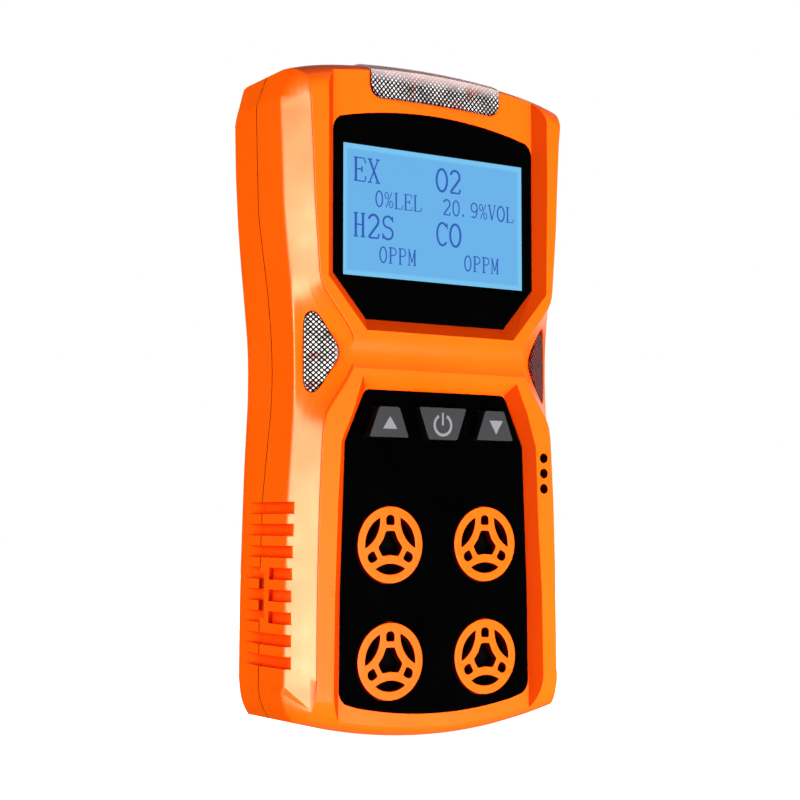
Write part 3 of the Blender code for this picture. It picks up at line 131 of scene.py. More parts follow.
# Height and half width of the rail edge, height and half width of the shoulder, half width at the parting
# plane, and half width where the back starts to round
SIDE_ROWS = [
    (118.2, 29.15, 118.6, 32.82, 32.55, 31.85),
    (108.5, 28.6, 109.5, 32.4, 32.3, 31.65),
    (99.7, 28.2, 99.7, 32.0, 32.0, 31.1),
    (91.0, 27.5, 92.0, 31.2, 31.0, 30.45),
    (84.6, 27.0, 85.0, 30.4, 29.95, 29.7),
    (81.8, 24.7, 81.8, 30.1, 29.6, 29.4),
    (75.9, 19.9, 76.5, 29.7, 29.1, 28.85),
    (72.4, 19.4, 72.4, 29.6, 28.9, 28.65),
    (69.2, 19.9, 69.2, 29.54, 28.8, 28.6),
    (63.6, 23.8, 64.0, 29.65, 28.9, 28.65),
    (60.6, 26.0, 61.0, 29.8, 29.1, 28.8),
    (57.0, 26.5, 57.5, 30.05, 29.5, 29.0),
    (50.5, 26.8, 50.6, 30.5, 30.2, 29.35),
    (44.5, 27.1, 44.5, 30.95, 30.8, 29.55),
    (27.0, 27.5, 27.0, 31.3, 31.3, 30.1),
    (11.9, 27.55, 10.97, 31.52, 31.37, 30.2),
]
ROW_STEP = 1.0
ROW_SMOOTHING = 4

# Edges around the two ends, as (half width, height) at the rail, the shoulder, the parting plane and the back
CROWN_END = [29.45, 30.7, 30.4, 30.1]
CROWN_CORNER = [(29.45, 120.3), (32.85, 120.0), (32.5, 120.6), (31.6, 120.6)]
CROWN_FOLD = [(29.4, 120.15), (32.84, 118.75), (32.6, 118.75), (31.9, 118.75)]
CROWN_BULGE = Vector((0.35, 0.5))
SOLE_END = [27.7, 29.5, 29.0, 27.8]
SOLE_CORNER = [(32.07, 9.55), (31.39, 9.43), (30.05, 9.4)]
SOLE_FOLD = [(31.53, 10.8), (31.38, 10.8), (30.21, 10.8)]
SOLE_CORNER_START_Y = -14.0
SOLE_CORNER_LIFT = 0.15
SOLE_FOLD_LIFT = 0.3
SOLE_BULGE = Vector((0.4, -0.3))
CORNER_STEPS = 6

UPPER_FLOOR = [(23.4, 140.0), (23.4, 87.3), (16.1, 78.9)]
UPPER_RIM = [(25.9, 140.0), (25.5, 86.3), (17.1, 76.6)]
LOWER_FLOOR = [(16.25, 65.7), (20.7, 55.7), (21.7, 27.0), (22.2, -8.0)]
LOWER_RIM = [(17.9, 68.0), (22.6, 55.6), (23.9, 27.0), (24.4, -8.0)]
CHANNEL_CORNER_R = 1.0

GROOVE_Z = 72.3
GROOVE_HALF = 2.9
GROOVE_DEPTH = 0.85

CHANNEL_FIT = 0.25
WINDOW_TOP_SAG = 2.3
WINDOW_CORNER_X = 20.5
WINDOW_CORNER_R = 3.0
PANEL_BOTTOM_SAG = 2.2
PANEL_CORNER_X = 19.3
PANEL_CORNER_Z = 9.6
PANEL_SIDE_X = 21.9


def mix(a, b, t):
    return a + (b - a) * t


def quarter(t):
    """1 at t = 0 and 0 at t = 1 along a quarter ellipse, steep at the start."""
    return 1.0 - math.sqrt(max(0.0, 1.0 - (1.0 - min(1.0, max(0.0, t))) ** 2))


def crown_z(x):
    """Height of the crown, which falls away faster near the corners."""
    u = x / CROWN_HALF
    return HEIGHT - CROWN_SAG * ((1.0 - CROWN_CORNER_SHARE) * u**2 + CROWN_CORNER_SHARE * u**6)


def sole_z(x):
    return SOLE_SAG * (x / SOLE_HALF) ** 2


def smooth_rows():
    """The side rows at a fine step, with the bends of the waist rounded."""
    fine = []
    for upper, lower in zip(SIDE_ROWS, SIDE_ROWS[1:]):
        count = max(1, round((upper[0] - lower[0]) / ROW_STEP))
        for i in range(count):
            fine.append([mix(a, b, i / count) for a, b in zip(upper, lower)])
    fine.append(list(SIDE_ROWS[-1]))
    for _ in range(ROW_SMOOTHING):
        middle = []
        for before, here, after in zip(fine, fine[1:], fine[2:]):
            middle.append([(a + 2 * b + c) / 4 for a, b, c in zip(before, here, after)])
        fine = fine[:1] + middle + fine[-1:]
    return fine


FINE_ROWS = smooth_rows()


def clamp(value):
    return min(1.0, max(0.0, value))


def side_share(y, start=RAIL_Y + LEDGE):
    """0 on the ledge of the rail, 1 from the shoulder back, with the shoulder rounded."""
    length = SHOULDER_Y - start
    u = y - SHOULDER_Y
    if abs(u) < SHOULDER_ROUND:
        return 1.0 - (SHOULDER_ROUND - u) ** 2 / (4 * SHOULDER_ROUND * length)
    return clamp(1.0 + u / length)


def along(values, y, start=RAIL_Y + LEDGE):
    """A number or a point at depth y, from its values at the rail, shoulder, parting plane and back."""
    shares = (side_share(y, start), clamp(1.0 - y / SHOULDER_Y), clamp(y / ROUND_Y))
    if isinstance(values[0], tuple):
        return tuple(along(numbers, y, start) for numbers in zip(*values))
    here = values[0]
    for value, share in zip(values[1:], shares):
        here = mix(here, value, share)
    return here


def sole_rise(y):
    return SOLE_RISE * quarter((y - RAIL_Y) / SOLE_DEPTH)


def sole_edge(stations, lift, y):
    """An edge of the sole's corner: it leaves the end of the sole behind the rail and reaches the side."""
    start = min(y, SOLE_CORNER_START_Y)
    x = along(SOLE_END, start)
    first = (x, sole_z(x) + sole_rise(start) + lift)
    return along([first] + stations, y, SOLE_CORNER_START_Y)


def bridged(first, last, bulge, steps):
    """Points between two corners of a section, swelling outwards in the middle."""
    first, last = Vector(first), Vector(last)
    made = []
    for i in range(1, steps):
        t = i / steps
        made.append(tuple(first.lerp(last, t) + bulge * 4.0 * t * (1.0 - t)))
    return made


def section(y, rows=None, points=20, steps=CORNER_STEPS):
    """The closed outline of the shells at depth y, as (x, z)."""
    front = side_share(y)
    back = clamp((y - ROUND_Y) / (REAR_Y - ROUND_Y))
    rear = REAR_BEVEL * (1.0 - math.sqrt(1.0 - back**2))
    edge = EDGE_ROUND * quarter((y - RAIL_Y) / EDGE_ROUND)
    drop = CROWN_DROP * quarter((y - RAIL_Y) / CROWN_DEPTH)
    rise = sole_rise(y) + REAR_SOLE_BEVEL * clamp((y - HEEL_Y) / (REAR_Y - HEEL_Y)) ** 2
    half = []
    crown_half = along(CROWN_END, y) - rear * 0.9 - edge
    for i in range(points + 1):
        x = crown_half * i / points
        half.append((x, crown_z(x) - drop - rear))
    x, z = along(CROWN_CORNER, y)
    corner = (x - rear - edge, z)
    half += bridged(half[-1], corner, CROWN_BULGE * 4.0 * front * (1.0 - front), steps)
    x, z = along(CROWN_FOLD, y)
    half += [corner, (x - rear - edge, z)]
    for rail_z, rail_x, side_z, side_x, seam_x, rear_x in rows or FINE_ROWS:
        x = along([rail_x, side_x, seam_x, rear_x], y) - rear - edge
        half.append((x, mix(rail_z, side_z, front)))
    x, z = sole_edge(SOLE_FOLD, SOLE_FOLD_LIFT, y)
    half.append((x - rear - edge, z))
    x, z = sole_edge(SOLE_CORNER, SOLE_CORNER_LIFT, y)
    half.append((x - rear - edge, z))
    sole_half = along(SOLE_END, y) - rear * 0.7 - edge
    share = clamp((y - SOLE_CORNER_START_Y) / (SHOULDER_Y - SOLE_CORNER_START_Y))
    half += bridged(half[-1], (sole_half, sole_z(sole_half) + rise), SOLE_BULGE * share, steps)
    for i in range(points, -1, -1):
        x = sole_half * i / points
        half.append((x, sole_z(x) + rise))
    return mirrored(half)


# --- Outlines -------------------------------------------------------------------------------------------


def mirrored(half):
    """A closed outline from its right half, given from top to bottom."""
    return list(half) + [(-x, z) for x, z in reversed(half) if x > 1e-6]


def arc(centre, radius, first, last, count):
    """Points on an arc, with angles in degrees, both ends included; radius may be a pair."""
    rx, rz = radius if isinstance(radius, tuple) else (radius, radius)
    angles = [math.radians(mix(first, last, i / (count - 1))) for i in range(count)]
    return [(centre[0] + rx * math.cos(a), centre[1] + rz * math.sin(a)) for a in angles]


def circle(centre, radius, count):
    return arc(centre, radius, 0, 360 * (1 - 1 / count), count)


def offset_outline(outline, distance):
    """The outline moved by distance along its outward normals (inwards if negative)."""
    area = sum(a[0] * b[1] - b[0] * a[1] for a, b in zip(outline, outline[1:] + outline[:1]))
    sign = math.copysign(1.0, area)
    moved = []
    for i, here in enumerate(outline):
        here = Vector(here)
        first = (here - Vector(outline[i - 1])).normalized()
        second = (Vector(outline[(i + 1) % len(outline)]) - here).normalized()
        normal = Vector((first.y, -first.x)) * sign
        middle = (normal + Vector((second.y, -second.x)) * sign).normalized()
        moved.append(tuple(here + middle * distance / max(0.4, middle.dot(normal))))
    return moved


def corner_curve(before, here, after, reach, share, count):
    """Points of the curve that replaces a corner, from reach before it to reach after it, but at most a share
    of each side."""
    before, here, after = Vector(before), Vector(here), Vector(after)
    start = here + (before - here).normalized() * min(reach, (before - here).length * share)
    end = here + (after - here).normalized() * min(reach, (after - here).length * share)
    steps = [k / count for k in range(count + 1)]
    return [start * (1 - t) ** 2 + here * 2 * t * (1 - t) + end * t**2 for t in steps]


def rounded(outline, radius, count=4):
    """The outline with its corners turned into small curves."""
    made = []
    for i, here in enumerate(outline):
        after = outline[(i + 1) % len(outline)]
        made += [tuple(point) for point in corner_curve(outline[i - 1], here, after, radius, 0.45, count)]
    return made


def turned_outline(outline, degrees):
    c, s = math.cos(math.radians(degrees)), math.sin(math.radians(degrees))
    return [(x * c - z * s, x * s + z * c) for x, z in outline]


def moved_outline(outline, dx, dz):
    return [(x + dx, z + dz) for x, z in outline]


def window_outline(inset=0.0):
    top_z = WINDOW_HIGH.z + CHANNEL_FIT
    half = []
    for i in range(13):
        x = WINDOW_CORNER_X * i / 12
        half.append((x, top_z - WINDOW_TOP_SAG * (x / WINDOW_CORNER_X) ** 2))
    corner = (UPPER_FLOOR[0][0] - WINDOW_CORNER_R, half[-1][1] - WINDOW_CORNER_R)
    half = half[:-1] + arc(corner, WINDOW_CORNER_R, 62, 0, 8) + UPPER_FLOOR[1:]
    return offset_outline(mirrored(half), -inset) if inset else mirrored(half)


def panel_outline(inset=0.0):
    bottom_z = PANEL_LOW.z - CHANNEL_FIT
    corner = rounded([(0.0, LOWER_FLOOR[0][1]), LOWER_FLOOR[0], LOWER_FLOOR[1]], CHANNEL_CORNER_R)[5:10]
    centre = (PANEL_SIDE_X - WINDOW_CORNER_R, PANEL_CORNER_Z)
    half = corner + LOWER_FLOOR[1:3] + arc(centre, WINDOW_CORNER_R, 0, -62, 8)
    for i in range(11, -1, -1):
        x = PANEL_CORNER_X * i / 12
        half.append((x, bottom_z + PANEL_BOTTOM_SAG * (x / PANEL_CORNER_X) ** 2))
    return offset_outline(mirrored(half), -inset) if inset else mirrored(half)


# --- Mesh building --------------------------------------------------------------------------------------


def new_object(name, data):
    made = bpy.data.objects.new(name, data)
    bpy.context.scene.collection.objects.link(made)
    return made


def in_frame(point):
    """A point given in millimetres from the parting plane, in the frame's metres."""
    return (Vector(point) + Vector((0.0, SEAM_MIDDLE / MM, 0.0))) * MM


def evaluated(made):
    """The mesh of an object with its modifiers applied; the object is removed."""
    bpy.context.view_layer.update()
    mesh = bpy.data.meshes.new_from_object(made.evaluated_get(bpy.context.evaluated_depsgraph_get()))
    mesh.transform(made.matrix_world)
    bpy.data.objects.remove(made)
    return mesh


def mesh_from(bm):
    bmesh.ops.recalc_face_normals(bm, faces=bm.faces)
    mesh = bpy.data.meshes.new("part")
    bm.to_mesh(mesh)
    bm.free()
    return mesh


def loft(rings):
    """A closed body through rings of equal point count, with a cap at each end."""
    bm = bmesh.new()
    rows = [[bm.verts.new(point) for point in ring] for ring in rings]
    for lower, upper in zip(rows, rows[1:]):
        for i, start in enumerate(lower):
            j = (i + 1) % len(lower)
            bm.faces.new((start, lower[j], upper[j], upper[i]))
    bm.faces.new(rows[0])
    bm.faces.new(rows[-1])
    return mesh_from(bm)


def ring(outline, y):
    return [(x, y, z) for x, z in outline]


def prism(outline, y_front, y_back):
    return loft([ring(outline, y_front), ring(outline, y_back)])


def block(x, y, z):
    return prism([(x[0], z[0]), (x[1], z[0]), (x[1], z[1]), (x[0], z[1])], *y)


def rod(radius, start, end, segments):
    """A round bar from start to end."""
    start, end = Vector(start), Vector(end)
    size = {"radius1": radius, "radius2": radius, "depth": (end - start).length}
    bm = bmesh.new()
    bmesh.ops.create_cone(bm, cap_ends=True, segments=segments, **size)
    turn = (end - start).to_track_quat("Z", "Y").to_matrix().to_4x4()
    bmesh.ops.transform(bm, matrix=Matrix.Translation((start + end) / 2) @ turn, verts=bm.verts)
    return mesh_from(bm)


def y_rod(radius, x, z, y_front, y_back, segments):
    """A round bar from front to back."""
    return rod(radius, (x, y_front, z), (x, y_back, z), segments)


def curve_through(lines, depth, steps, flat=False):
    """A round-edged curve through lines of (x, y, z, width); flat for closed outlines in a plane."""
    curve = bpy.data.curves.new("curve", "CURVE")
    curve.dimensions = "2D" if flat else "3D"
    curve.bevel_depth = depth
    curve.bevel_resolution = steps
    curve.use_fill_caps = not flat
    for line in lines:
        spline = curve.splines.new("POLY")
        spline.points.add(len(line) - 1)
        spline.use_cyclic_u = flat
        for point, (x, y, z, width) in zip(spline.points, line):
            point.co = (x, y, z, 1.0)
            point.radius = width
    return curve


def welded(curve, place):
    """The closed mesh of a curve that stands at place."""
    source = new_object("curve", curve)
    source.matrix_world = place
    bm = bmesh.new()
    bm.from_mesh(evaluated(source))
    bmesh.ops.remove_doubles(bm, verts=bm.verts, dist=1e-4)
    return mesh_from(bm)


def plate(outlines, y_front, y_back, edge, edge_steps):
    """A flat plate from outer and inner outlines, its rims rounded by edge."""
    lines = [[(x, z, 0.0, 1.0) for x, z in outline] for outline in outlines]
    curve = curve_through(lines, edge, edge_steps, flat=True)
    curve.fill_mode = "BOTH"
    curve.extrude = (y_back - y_front) / 2 - edge
    curve.offset = -edge
    middle = Matrix.Translation((0.0, (y_front + y_back) / 2, 0.0))
    return welded(curve, middle @ Matrix.Rotation(math.pi / 2, 4, "X"))


def combine(meshes):
    """Several closed bodies in one mesh."""
    bm = bmesh.new()
    for mesh in meshes:
        bm.from_mesh(mesh)
    return mesh_from(bm)


def carved(mesh, cutters, operation="DIFFERENCE"):
    """The body after one exact cut, or union, with all the given bodies."""
    target = new_object("target", mesh)
    group = bpy.data.collections.new("tools")
    for tool in cutters:
        group.objects.link(bpy.data.objects.new("tool", tool))
    bpy.context.scene.collection.children.link(group)
    step = target.modifiers.new("cut", "BOOLEAN")
    step.operation = operation
    step.solver = "EXACT"
    step.operand_type = "COLLECTION"
    step.collection = group
    made = evaluated(target)
    for tool in list(group.objects):
        bpy.data.objects.remove(tool)
    bpy.data.collections.remove(group)
    return made


def softened(mesh, width):
    """The body with its edges rounded."""
    made = new_object("soft", mesh)
    step = made.modifiers.new("bevel", "BEVEL")
    step.width = width
    step.segments = 2
    step.limit_method = "ANGLE"
    step.angle_limit = math.radians(28)
    step.use_clamp_overlap = True
    step.miter_outer = "MITER_ARC"
    return evaluated(made)


def piece(name, mesh, look, body="housing", stands_for=(), sharp=35):
    """Sets a finished body into the frame and lets it ride on its CAD body."""
    mesh.transform(INTO_FRAME)
    mesh.name = name
    mesh.materials.clear()
    mesh.materials.append(look)
    mesh.shade_smooth()
    mesh.set_sharp_from_angle(angle=math.radians(sharp))
    made = new_object(name, mesh)
    normals = made.modifiers.new("face_weighted_normals", "WEIGHTED_NORMAL")
    normals.keep_sharp = True
    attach(made, body)
    if stands_for:
        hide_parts(*stands_for)
    return made


def second_look(made, look, chosen):
    """Gives another material to the faces that chosen(centre, normal) picks, in the frame of the shells."""
    mesh = made.data
    mesh.materials.append(look)
    index = len(mesh.materials) - 1
    shift = Vector((0.0, SEAM_MIDDLE, 0.0))
    for face in mesh.polygons:
        if chosen((face.center - shift) / MM, face.normal):
            face.material_index = index


CROWN_CREASES_Z = (117.9, 120.9)
SOLE_CREASES_Z = (8.9, 12.2)
SOLE_FRONT_CREASES_Z = (4.0, 12.2)
CREASE_DEGREES = 8


def between(value, limits):
    return limits[0] < value < limits[1]


def crisp(made):
    """Keeps the lengthwise folds at the ends of the shells sharp."""
    bm = bmesh.new()
    bm.from_mesh(made.data)
    for edge in bm.edges:
        first, last = (vert.co / MM for vert in edge.verts)
        z = (first.z + last.z) / 2
        y = (first.y + last.y) / 2 - SEAM_MIDDLE / MM
        folded = between(z, CROWN_CREASES_Z) or between(z, SOLE_CREASES_Z)
        folded = folded or (y < SHOULDER_Y and between(z, SOLE_FRONT_CREASES_Z))
        lengthwise = abs(first.y - last.y) >= 0.5 * (first - last).length
        if folded and lengthwise and edge.calc_face_angle(0.0) > math.radians(CREASE_DEGREES):
            edge.smooth = False
    bm.to_mesh(made.data)
    bm.free()


# --- Materials ------------------------------------------------------------------------------------------


def color_sockets(sockets):
    """The colour sockets of a Mix node, which has one of each kind under the same name."""
    return [socket for socket in sockets if socket.type == "RGBA"]


class Look:
    """A Principled material with a few node helpers."""

    def __init__(self, name, color, roughness, metallic=0.0, specular=0.5):
        self.material = bpy.data.materials.new(name)
        self.material.use_nodes = True
        self.nodes = self.material.node_tree.nodes
        self.shader = self.nodes["Principled BSDF"]
        self.shader.inputs["Base Color"].default_value = (*color, 1.0)
        self.shader.inputs["Roughness"].default_value = roughness
        self.shader.inputs["Metallic"].default_value = metallic
        self.shader.inputs["Specular IOR Level"].default_value = specular
        self.position = self.nodes.new("ShaderNodeTexCoord").outputs["Object"]

    def node(self, kind, **values):
        made = self.nodes.new("ShaderNode" + kind)
        for key, value in values.items():
            if key in made.inputs:
                made.inputs[key].default_value = value
            else:
                setattr(made, key, value)
        return made

    def link(self, source, target):
        self.material.node_tree.links.new(source, target)

    def noise(self, size, detail=3.0, stretch=(1.0, 1.0, 1.0)):
        """Noise whose grains are about size millimetres, stretched along an axis."""
        mapping = self.node("Mapping")
        mapping.inputs["Scale"].default_value = [1.0 / (size * MM * s) for s in stretch]
        self.link(self.position, mapping.inputs["Vector"])
        noise = self.node("TexNoise", Scale=1.0, Detail=detail)
        self.link(mapping.outputs["Vector"], noise.inputs["Vector"])
        return noise.outputs["Fac"]

    def ramp(self, source, low, high, start=0.0, end=1.0):
        """Maps source from low..high to start..end."""
        made = self.node("MapRange")
        for key, value in (("From Min", low), ("From Max", high), ("To Min", start), ("To Max", end)):
            made.inputs[key].default_value = value
        self.link(source, made.inputs["Value"])
        return made.outputs["Result"]

    def number(self, operation, first, second=None):
        """The result of one operation on numbers or sockets."""
        made = self.node("Math", operation=operation)
        for socket, value in zip(made.inputs, (first, second)):
            if isinstance(value, (int, float)):
                socket.default_value = value
            elif value is not None:
                self.link(value, socket)
        return made.outputs["Value"]

    def mixed(self, share, first, second):
        """Colour between two colours or sockets by share."""
        made = self.node("Mix", data_type="RGBA")
        for socket, value in zip(color_sockets(made.inputs), (first, second)):
            if isinstance(value, tuple):
                socket.default_value = (*value, 1.0)
            else:
                self.link(value, socket)
        self.link(share, made.inputs["Factor"])
        return color_sockets(made.outputs)[0]

    def bump(self, height, strength, distance):
        made = self.node("Bump")
        made.inputs["Strength"].default_value = strength
        made.inputs["Distance"].default_value = distance * MM
        self.link(height, made.inputs["Height"])
        self.link(made.outputs["Normal"], self.shader.inputs["Normal"])

    def color(self, source):
        self.link(source, self.shader.inputs["Base Color"])

    def roughness(self, source):
        self.link(source, self.shader.inputs["Roughness"])


GRAIN = 0.12
GRAIN_STRENGTH = 0.06
FLOW_CONTRAST = 0.06
SHADED_DEPTH = 3.5


def moulded(name, color, roughness, specular=0.5, deep_shade=None):
    """Injection-moulded plastic: fine eroded grain, faint flow marks and an uneven sheen. The last argument,
    when
    given, is a painted shade colour: ambient occlusion darkens corners and recesses towards it."""
    look = Look(name, color, roughness, specular=specular)
    flow = look.noise(22.0, 2.0, (1.0, 1.0, 2.5))
    darker = tuple(c * (1.0 - FLOW_CONTRAST) for c in color)
    lighter = tuple(min(1.0, c * (1.0 + FLOW_CONTRAST)) for c in color)
    surface = look.mixed(look.ramp(flow, 0.3, 0.7), darker, lighter)
    if deep_shade:
        # Painted shade: ambient occlusion darkens corners and recesses towards the given colour.
        openness = look.node("AmbientOcclusion", Distance=SHADED_DEPTH * MM, samples=16)
        share = look.ramp(openness.outputs["AO"], 0.62, 0.97)
        surface = look.mixed(share, deep_shade, surface)
    look.color(surface)
    handling = look.noise(6.0, 4.0)
    look.roughness(look.ramp(handling, 0.25, 0.75, roughness * 0.85, roughness * 1.2))
    look.bump(look.noise(GRAIN, 2.0), GRAIN_STRENGTH, GRAIN)
    return look.material


def metal(name, color, roughness):
    """Brushed or drawn metal with upright lines and faint stains."""
    look = Look(name, color, roughness, metallic=1.0)
    lines = look.noise(0.12, 3.0, (1.0, 1.0, 14.0))
    stains = look.noise(5.0, 3.0)
    look.color(look.mixed(look.ramp(stains, 0.3, 0.75), color, tuple(c * 0.82 for c in color)))
    look.roughness(look.ramp(lines, 0.2, 0.8, roughness * 0.75, roughness * 1.35))
    look.bump(lines, 0.12, 0.03)
    return look.material


def rubber(name, color):
    look = Look(name, color, 0.72, specular=0.3)
    look.color(look.mixed(look.ramp(look.noise(3.0), 0.3, 0.8), color, tuple(c * 1.8 for c in color)))
    look.bump(look.noise(0.15), 0.25, 0.1)
    return look.material


def circuit_board():
    """Green solder mask over copper tracks."""
    look = Look("circuit_board", (0.01, 0.12, 0.045), 0.35)
    mapping = look.node("Mapping")
    mapping.inputs["Scale"].default_value = (900.0, 1.0, 900.0)
    look.link(look.position, mapping.inputs["Vector"])
    tracks = look.node("TexBrick", Scale=0.5)
    tracks.inputs["Mortar Size"].default_value = 0.06
    look.link(mapping.outputs["Vector"], tracks.inputs["Vector"])
    look.color(look.mixed(tracks.outputs["Fac"], (0.01, 0.12, 0.045), (0.02, 0.22, 0.08)))
    look.bump(tracks.outputs["Fac"], 0.2, 0.03)
    return look.material


def foam():
    look = Look("foam", (0.03, 0.03, 0.033), 0.95)
    cells = look.node("TexVoronoi", Scale=1600.0)
    look.link(look.position, cells.inputs["Vector"])
    look.bump(cells.outputs["Distance"], 0.8, 0.3)
    look.color(look.mixed(cells.outputs["Distance"], (0.015, 0.015, 0.017), (0.06, 0.06, 0.065)))
    return look.material


def battery_sleeve():
    look = Look("battery_sleeve", (0.03, 0.09, 0.32), 0.32)
    wrinkles = look.noise(3.0, 4.0, (4.0, 1.0, 1.0))
    look.color(look.mixed(look.ramp(wrinkles, 0.3, 0.7), (0.02, 0.07, 0.26), (0.045, 0.12, 0.4)))
    look.bump(wrinkles, 0.3, 0.3)
    return look.material


def membrane():
    """Porous black dust filter."""
    look = Look("filter_membrane", (0.001, 0.001, 0.001), 0.9, specular=0.0)
    weave = look.node("TexVoronoi", Scale=5000.0)
    look.link(look.position, weave.inputs["Vector"])
    look.color(look.mixed(weave.outputs["Distance"], (0.0004, 0.0004, 0.0004), (0.0018, 0.0018, 0.002)))
    look.bump(weave.outputs["Distance"], 0.4, 0.08)
    return look.material


def gloss_black(name, roughness, specular):
    look = Look(name, (0.0012, 0.0012, 0.0015), roughness, specular=specular)
    dust = look.noise(0.4, 4.0)
    look.roughness(look.ramp(dust, 0.3, 0.8, roughness * 0.9, roughness * 1.3))
    clouds = look.ramp(look.noise(9.0), 0.3, 0.8)
    look.color(look.mixed(clouds, (0.0002, 0.0002, 0.0003), (0.0005, 0.0005, 0.0006)))
    return look.material


def lit_display():
    """Lit liquid crystal layer: an even field with a paler border band and faint rows of dots."""
    look = Look("lit_display", (0.002, 0.005, 0.008), 0.25, specular=0.1)
    half_x, half_z = LCD_AREA_HALF * MM, (LCD_AREA_Z[1] - LCD_AREA_Z[0]) / 2 * MM
    mid_z = (LCD_AREA_Z[0] + LCD_AREA_Z[1]) / 2 * MM
    split = look.node("SeparateXYZ")
    look.link(look.position, split.inputs["Vector"])
    height = look.number("ABSOLUTE", look.number("SUBTRACT", split.outputs["Z"], mid_z))
    side = look.number("SUBTRACT", half_x, look.number("ABSOLUTE", split.outputs["X"]))
    border = look.number("MINIMUM", side, look.number("SUBTRACT", half_z, height))
    band = look.ramp(border, 0.75 * MM, 1.2 * MM)
    field = look.mixed(band, (0.19, 0.55, 0.86), (0.145, 0.445, 0.80))
    dots = look.node("TexWave", Scale=800.0, bands_direction="Z")
    look.link(look.position, dots.inputs["Vector"])
    shade = look.ramp(dots.outputs["Fac"], 0.0, 1.0, 0.985, 1.0)
    tinted = look.node("Mix", data_type="RGBA", blend_type="MULTIPLY", Factor=1.0)
    for source, socket in zip((field, shade), color_sockets(tinted.inputs)):
        look.link(source, socket)
    look.link(color_sockets(tinted.outputs)[0], look.shader.inputs["Emission Color"])
    look.shader.inputs["Emission Strength"].default_value = 1.0
    return look.material


def display_ink():
    look = Look("display_ink", (0.01, 0.02, 0.06), 0.4, specular=0.1)
    look.shader.inputs["Emission Color"].default_value = (0.010, 0.06, 0.34, 1.0)
    look.shader.inputs["Emission Strength"].default_value = 1.0
    look.bump(look.noise(0.2), 0.05, 0.02)
    return look.material


DIAMOND = 0.95
DIAMOND_STRETCH = 0.9
DIAMOND_BORDER = (0.14, 0.34)
# Colour of the clear diamonds of each lens, and of the tinted ones. The side lenses are alike: the left
# lens's light colours are painted light and the right lens's dark ones painted shade.
LENS_COLORS = {
    "top": ((0.55, 0.53, 0.54), (0.55, 0.30, 0.28)),
    "left": ((0.8, 0.78, 0.79), (0.8, 0.16, 0.14)),
    "right": ((0.22, 0.012, 0.01), (0.05, 0.002, 0.002)),
}


def prismatic(tag, across, up, veil_from, veil_to, veil_level):
    """Clear lens with a knurled pattern of small diamonds, bright in their cores and dark at their borders as
    painted facet shading, with painted glints on random diamonds, some tinted by the lamps behind. Along up,
    from veil_from to veil_to, the lens turns pale and the pattern fades."""
    look = Look(f"lens_pattern_{tag}", (0.3, 0.3, 0.3), 0.12, specular=0.5)
    number = look.number

    def measured(axis):
        made = look.node("VectorMath", operation="DOT_PRODUCT")
        look.link(look.position, made.inputs[0])
        made.inputs[1].default_value = Vector(axis) / MM
        return made.outputs["Value"]

    u, w = measured(across), number("MULTIPLY", measured(up), DIAMOND_STRETCH)
    first = number("DIVIDE", number("ADD", u, w), DIAMOND)
    second = number("DIVIDE", number("SUBTRACT", u, w), DIAMOND)
    ids = look.node("CombineXYZ")
    look.link(number("FLOOR", first), ids.inputs["X"])
    look.link(number("FLOOR", second), ids.inputs["Y"])
    random = look.node("TexWhiteNoise")
    look.link(ids.outputs["Vector"], random.inputs["Vector"])
    inside = []
    for share in (number("FRACT", first), number("FRACT", second)):
        inside.append(look.ramp(number("MINIMUM", share, number("SUBTRACT", 1.0, share)), *DIAMOND_BORDER))
    # Painted facet shading: each diamond bright in its core and dark at its border; the same map gives the
    # relief.
    facet_shade_and_relief = number("MULTIPLY", *inside)
    # Painted glints: a random brightness for each diamond.
    painted_glint = look.ramp(random.outputs["Value"], 0.0, 1.0, 0.7, 1.25)
    patches = look.ramp(look.noise(3.2, 2.0), 0.38, 0.62, 0.6, 1.3)
    veil = number("MULTIPLY", look.ramp(measured(up), veil_from, veil_to), veil_level)
    bright = number("MAXIMUM", number("MULTIPLY", number("MULTIPLY", facet_shade_and_relief, painted_glint), patches), veil)
    tinted = number("MAXIMUM", look.ramp(look.noise(4.0, 2.0), 0.56, 0.68), number("MULTIPLY", veil, 0.8))
    look.color(look.mixed(bright, (0.003, 0.001, 0.001), look.mixed(tinted, *LENS_COLORS[tag])))
    look.bump(facet_shade_and_relief, 0.35, 0.12)
    return look.material


# --- Shells ---------------------------------------------------------------------------------------------

FRONT_INNER_Y = -7.5
FRONT_INNER_INSET = 3.6
SHELL_INSET = WALL + 0.2
GROOVE_REACH = 26.0
KEY_OPENING_GAP = 0.55
SENSOR_OPENING_R = 6.3
SOUND_HOLE_R = 1.0
SOUND_HOLE_X = 24.55
SOUND_HOLE_Z = (47.3, 50.35, 53.4)
SOUND_HOLES_SPAN = (46.0, 55.0)
REAR_PAD = [(-17.0, 13.0), (17.0, 13.0), (17.0, 39.0), (-17.0, 39.0)]
REAR_PAD_CORNER_R = 3.4
BOSS_R = 3.3
SCREW_HOLE_R = 1.45
SCREW_HEAD_R = 2.6
SCREW_SEAT_Y = 11.2
CLIP_BOSS_R = 3.0
CLIP_BOSS_Y = 8.4
CLIP_HOLE_Y = 7.0
CLIP_SCREW_Z = (81.5, 102.5)
HOUSING_SCREWS = [f"housing_screw_{end}_{side}" for end in ("top", "bottom") for side in ("left", "right")]
COVER_RECESS = ((-7.6, 6.6), (6.25, 12.25), (-2.0, 1.5))
PORT_GAP = 0.3
PORT_OPENING_Z = (0.5, 4.0)


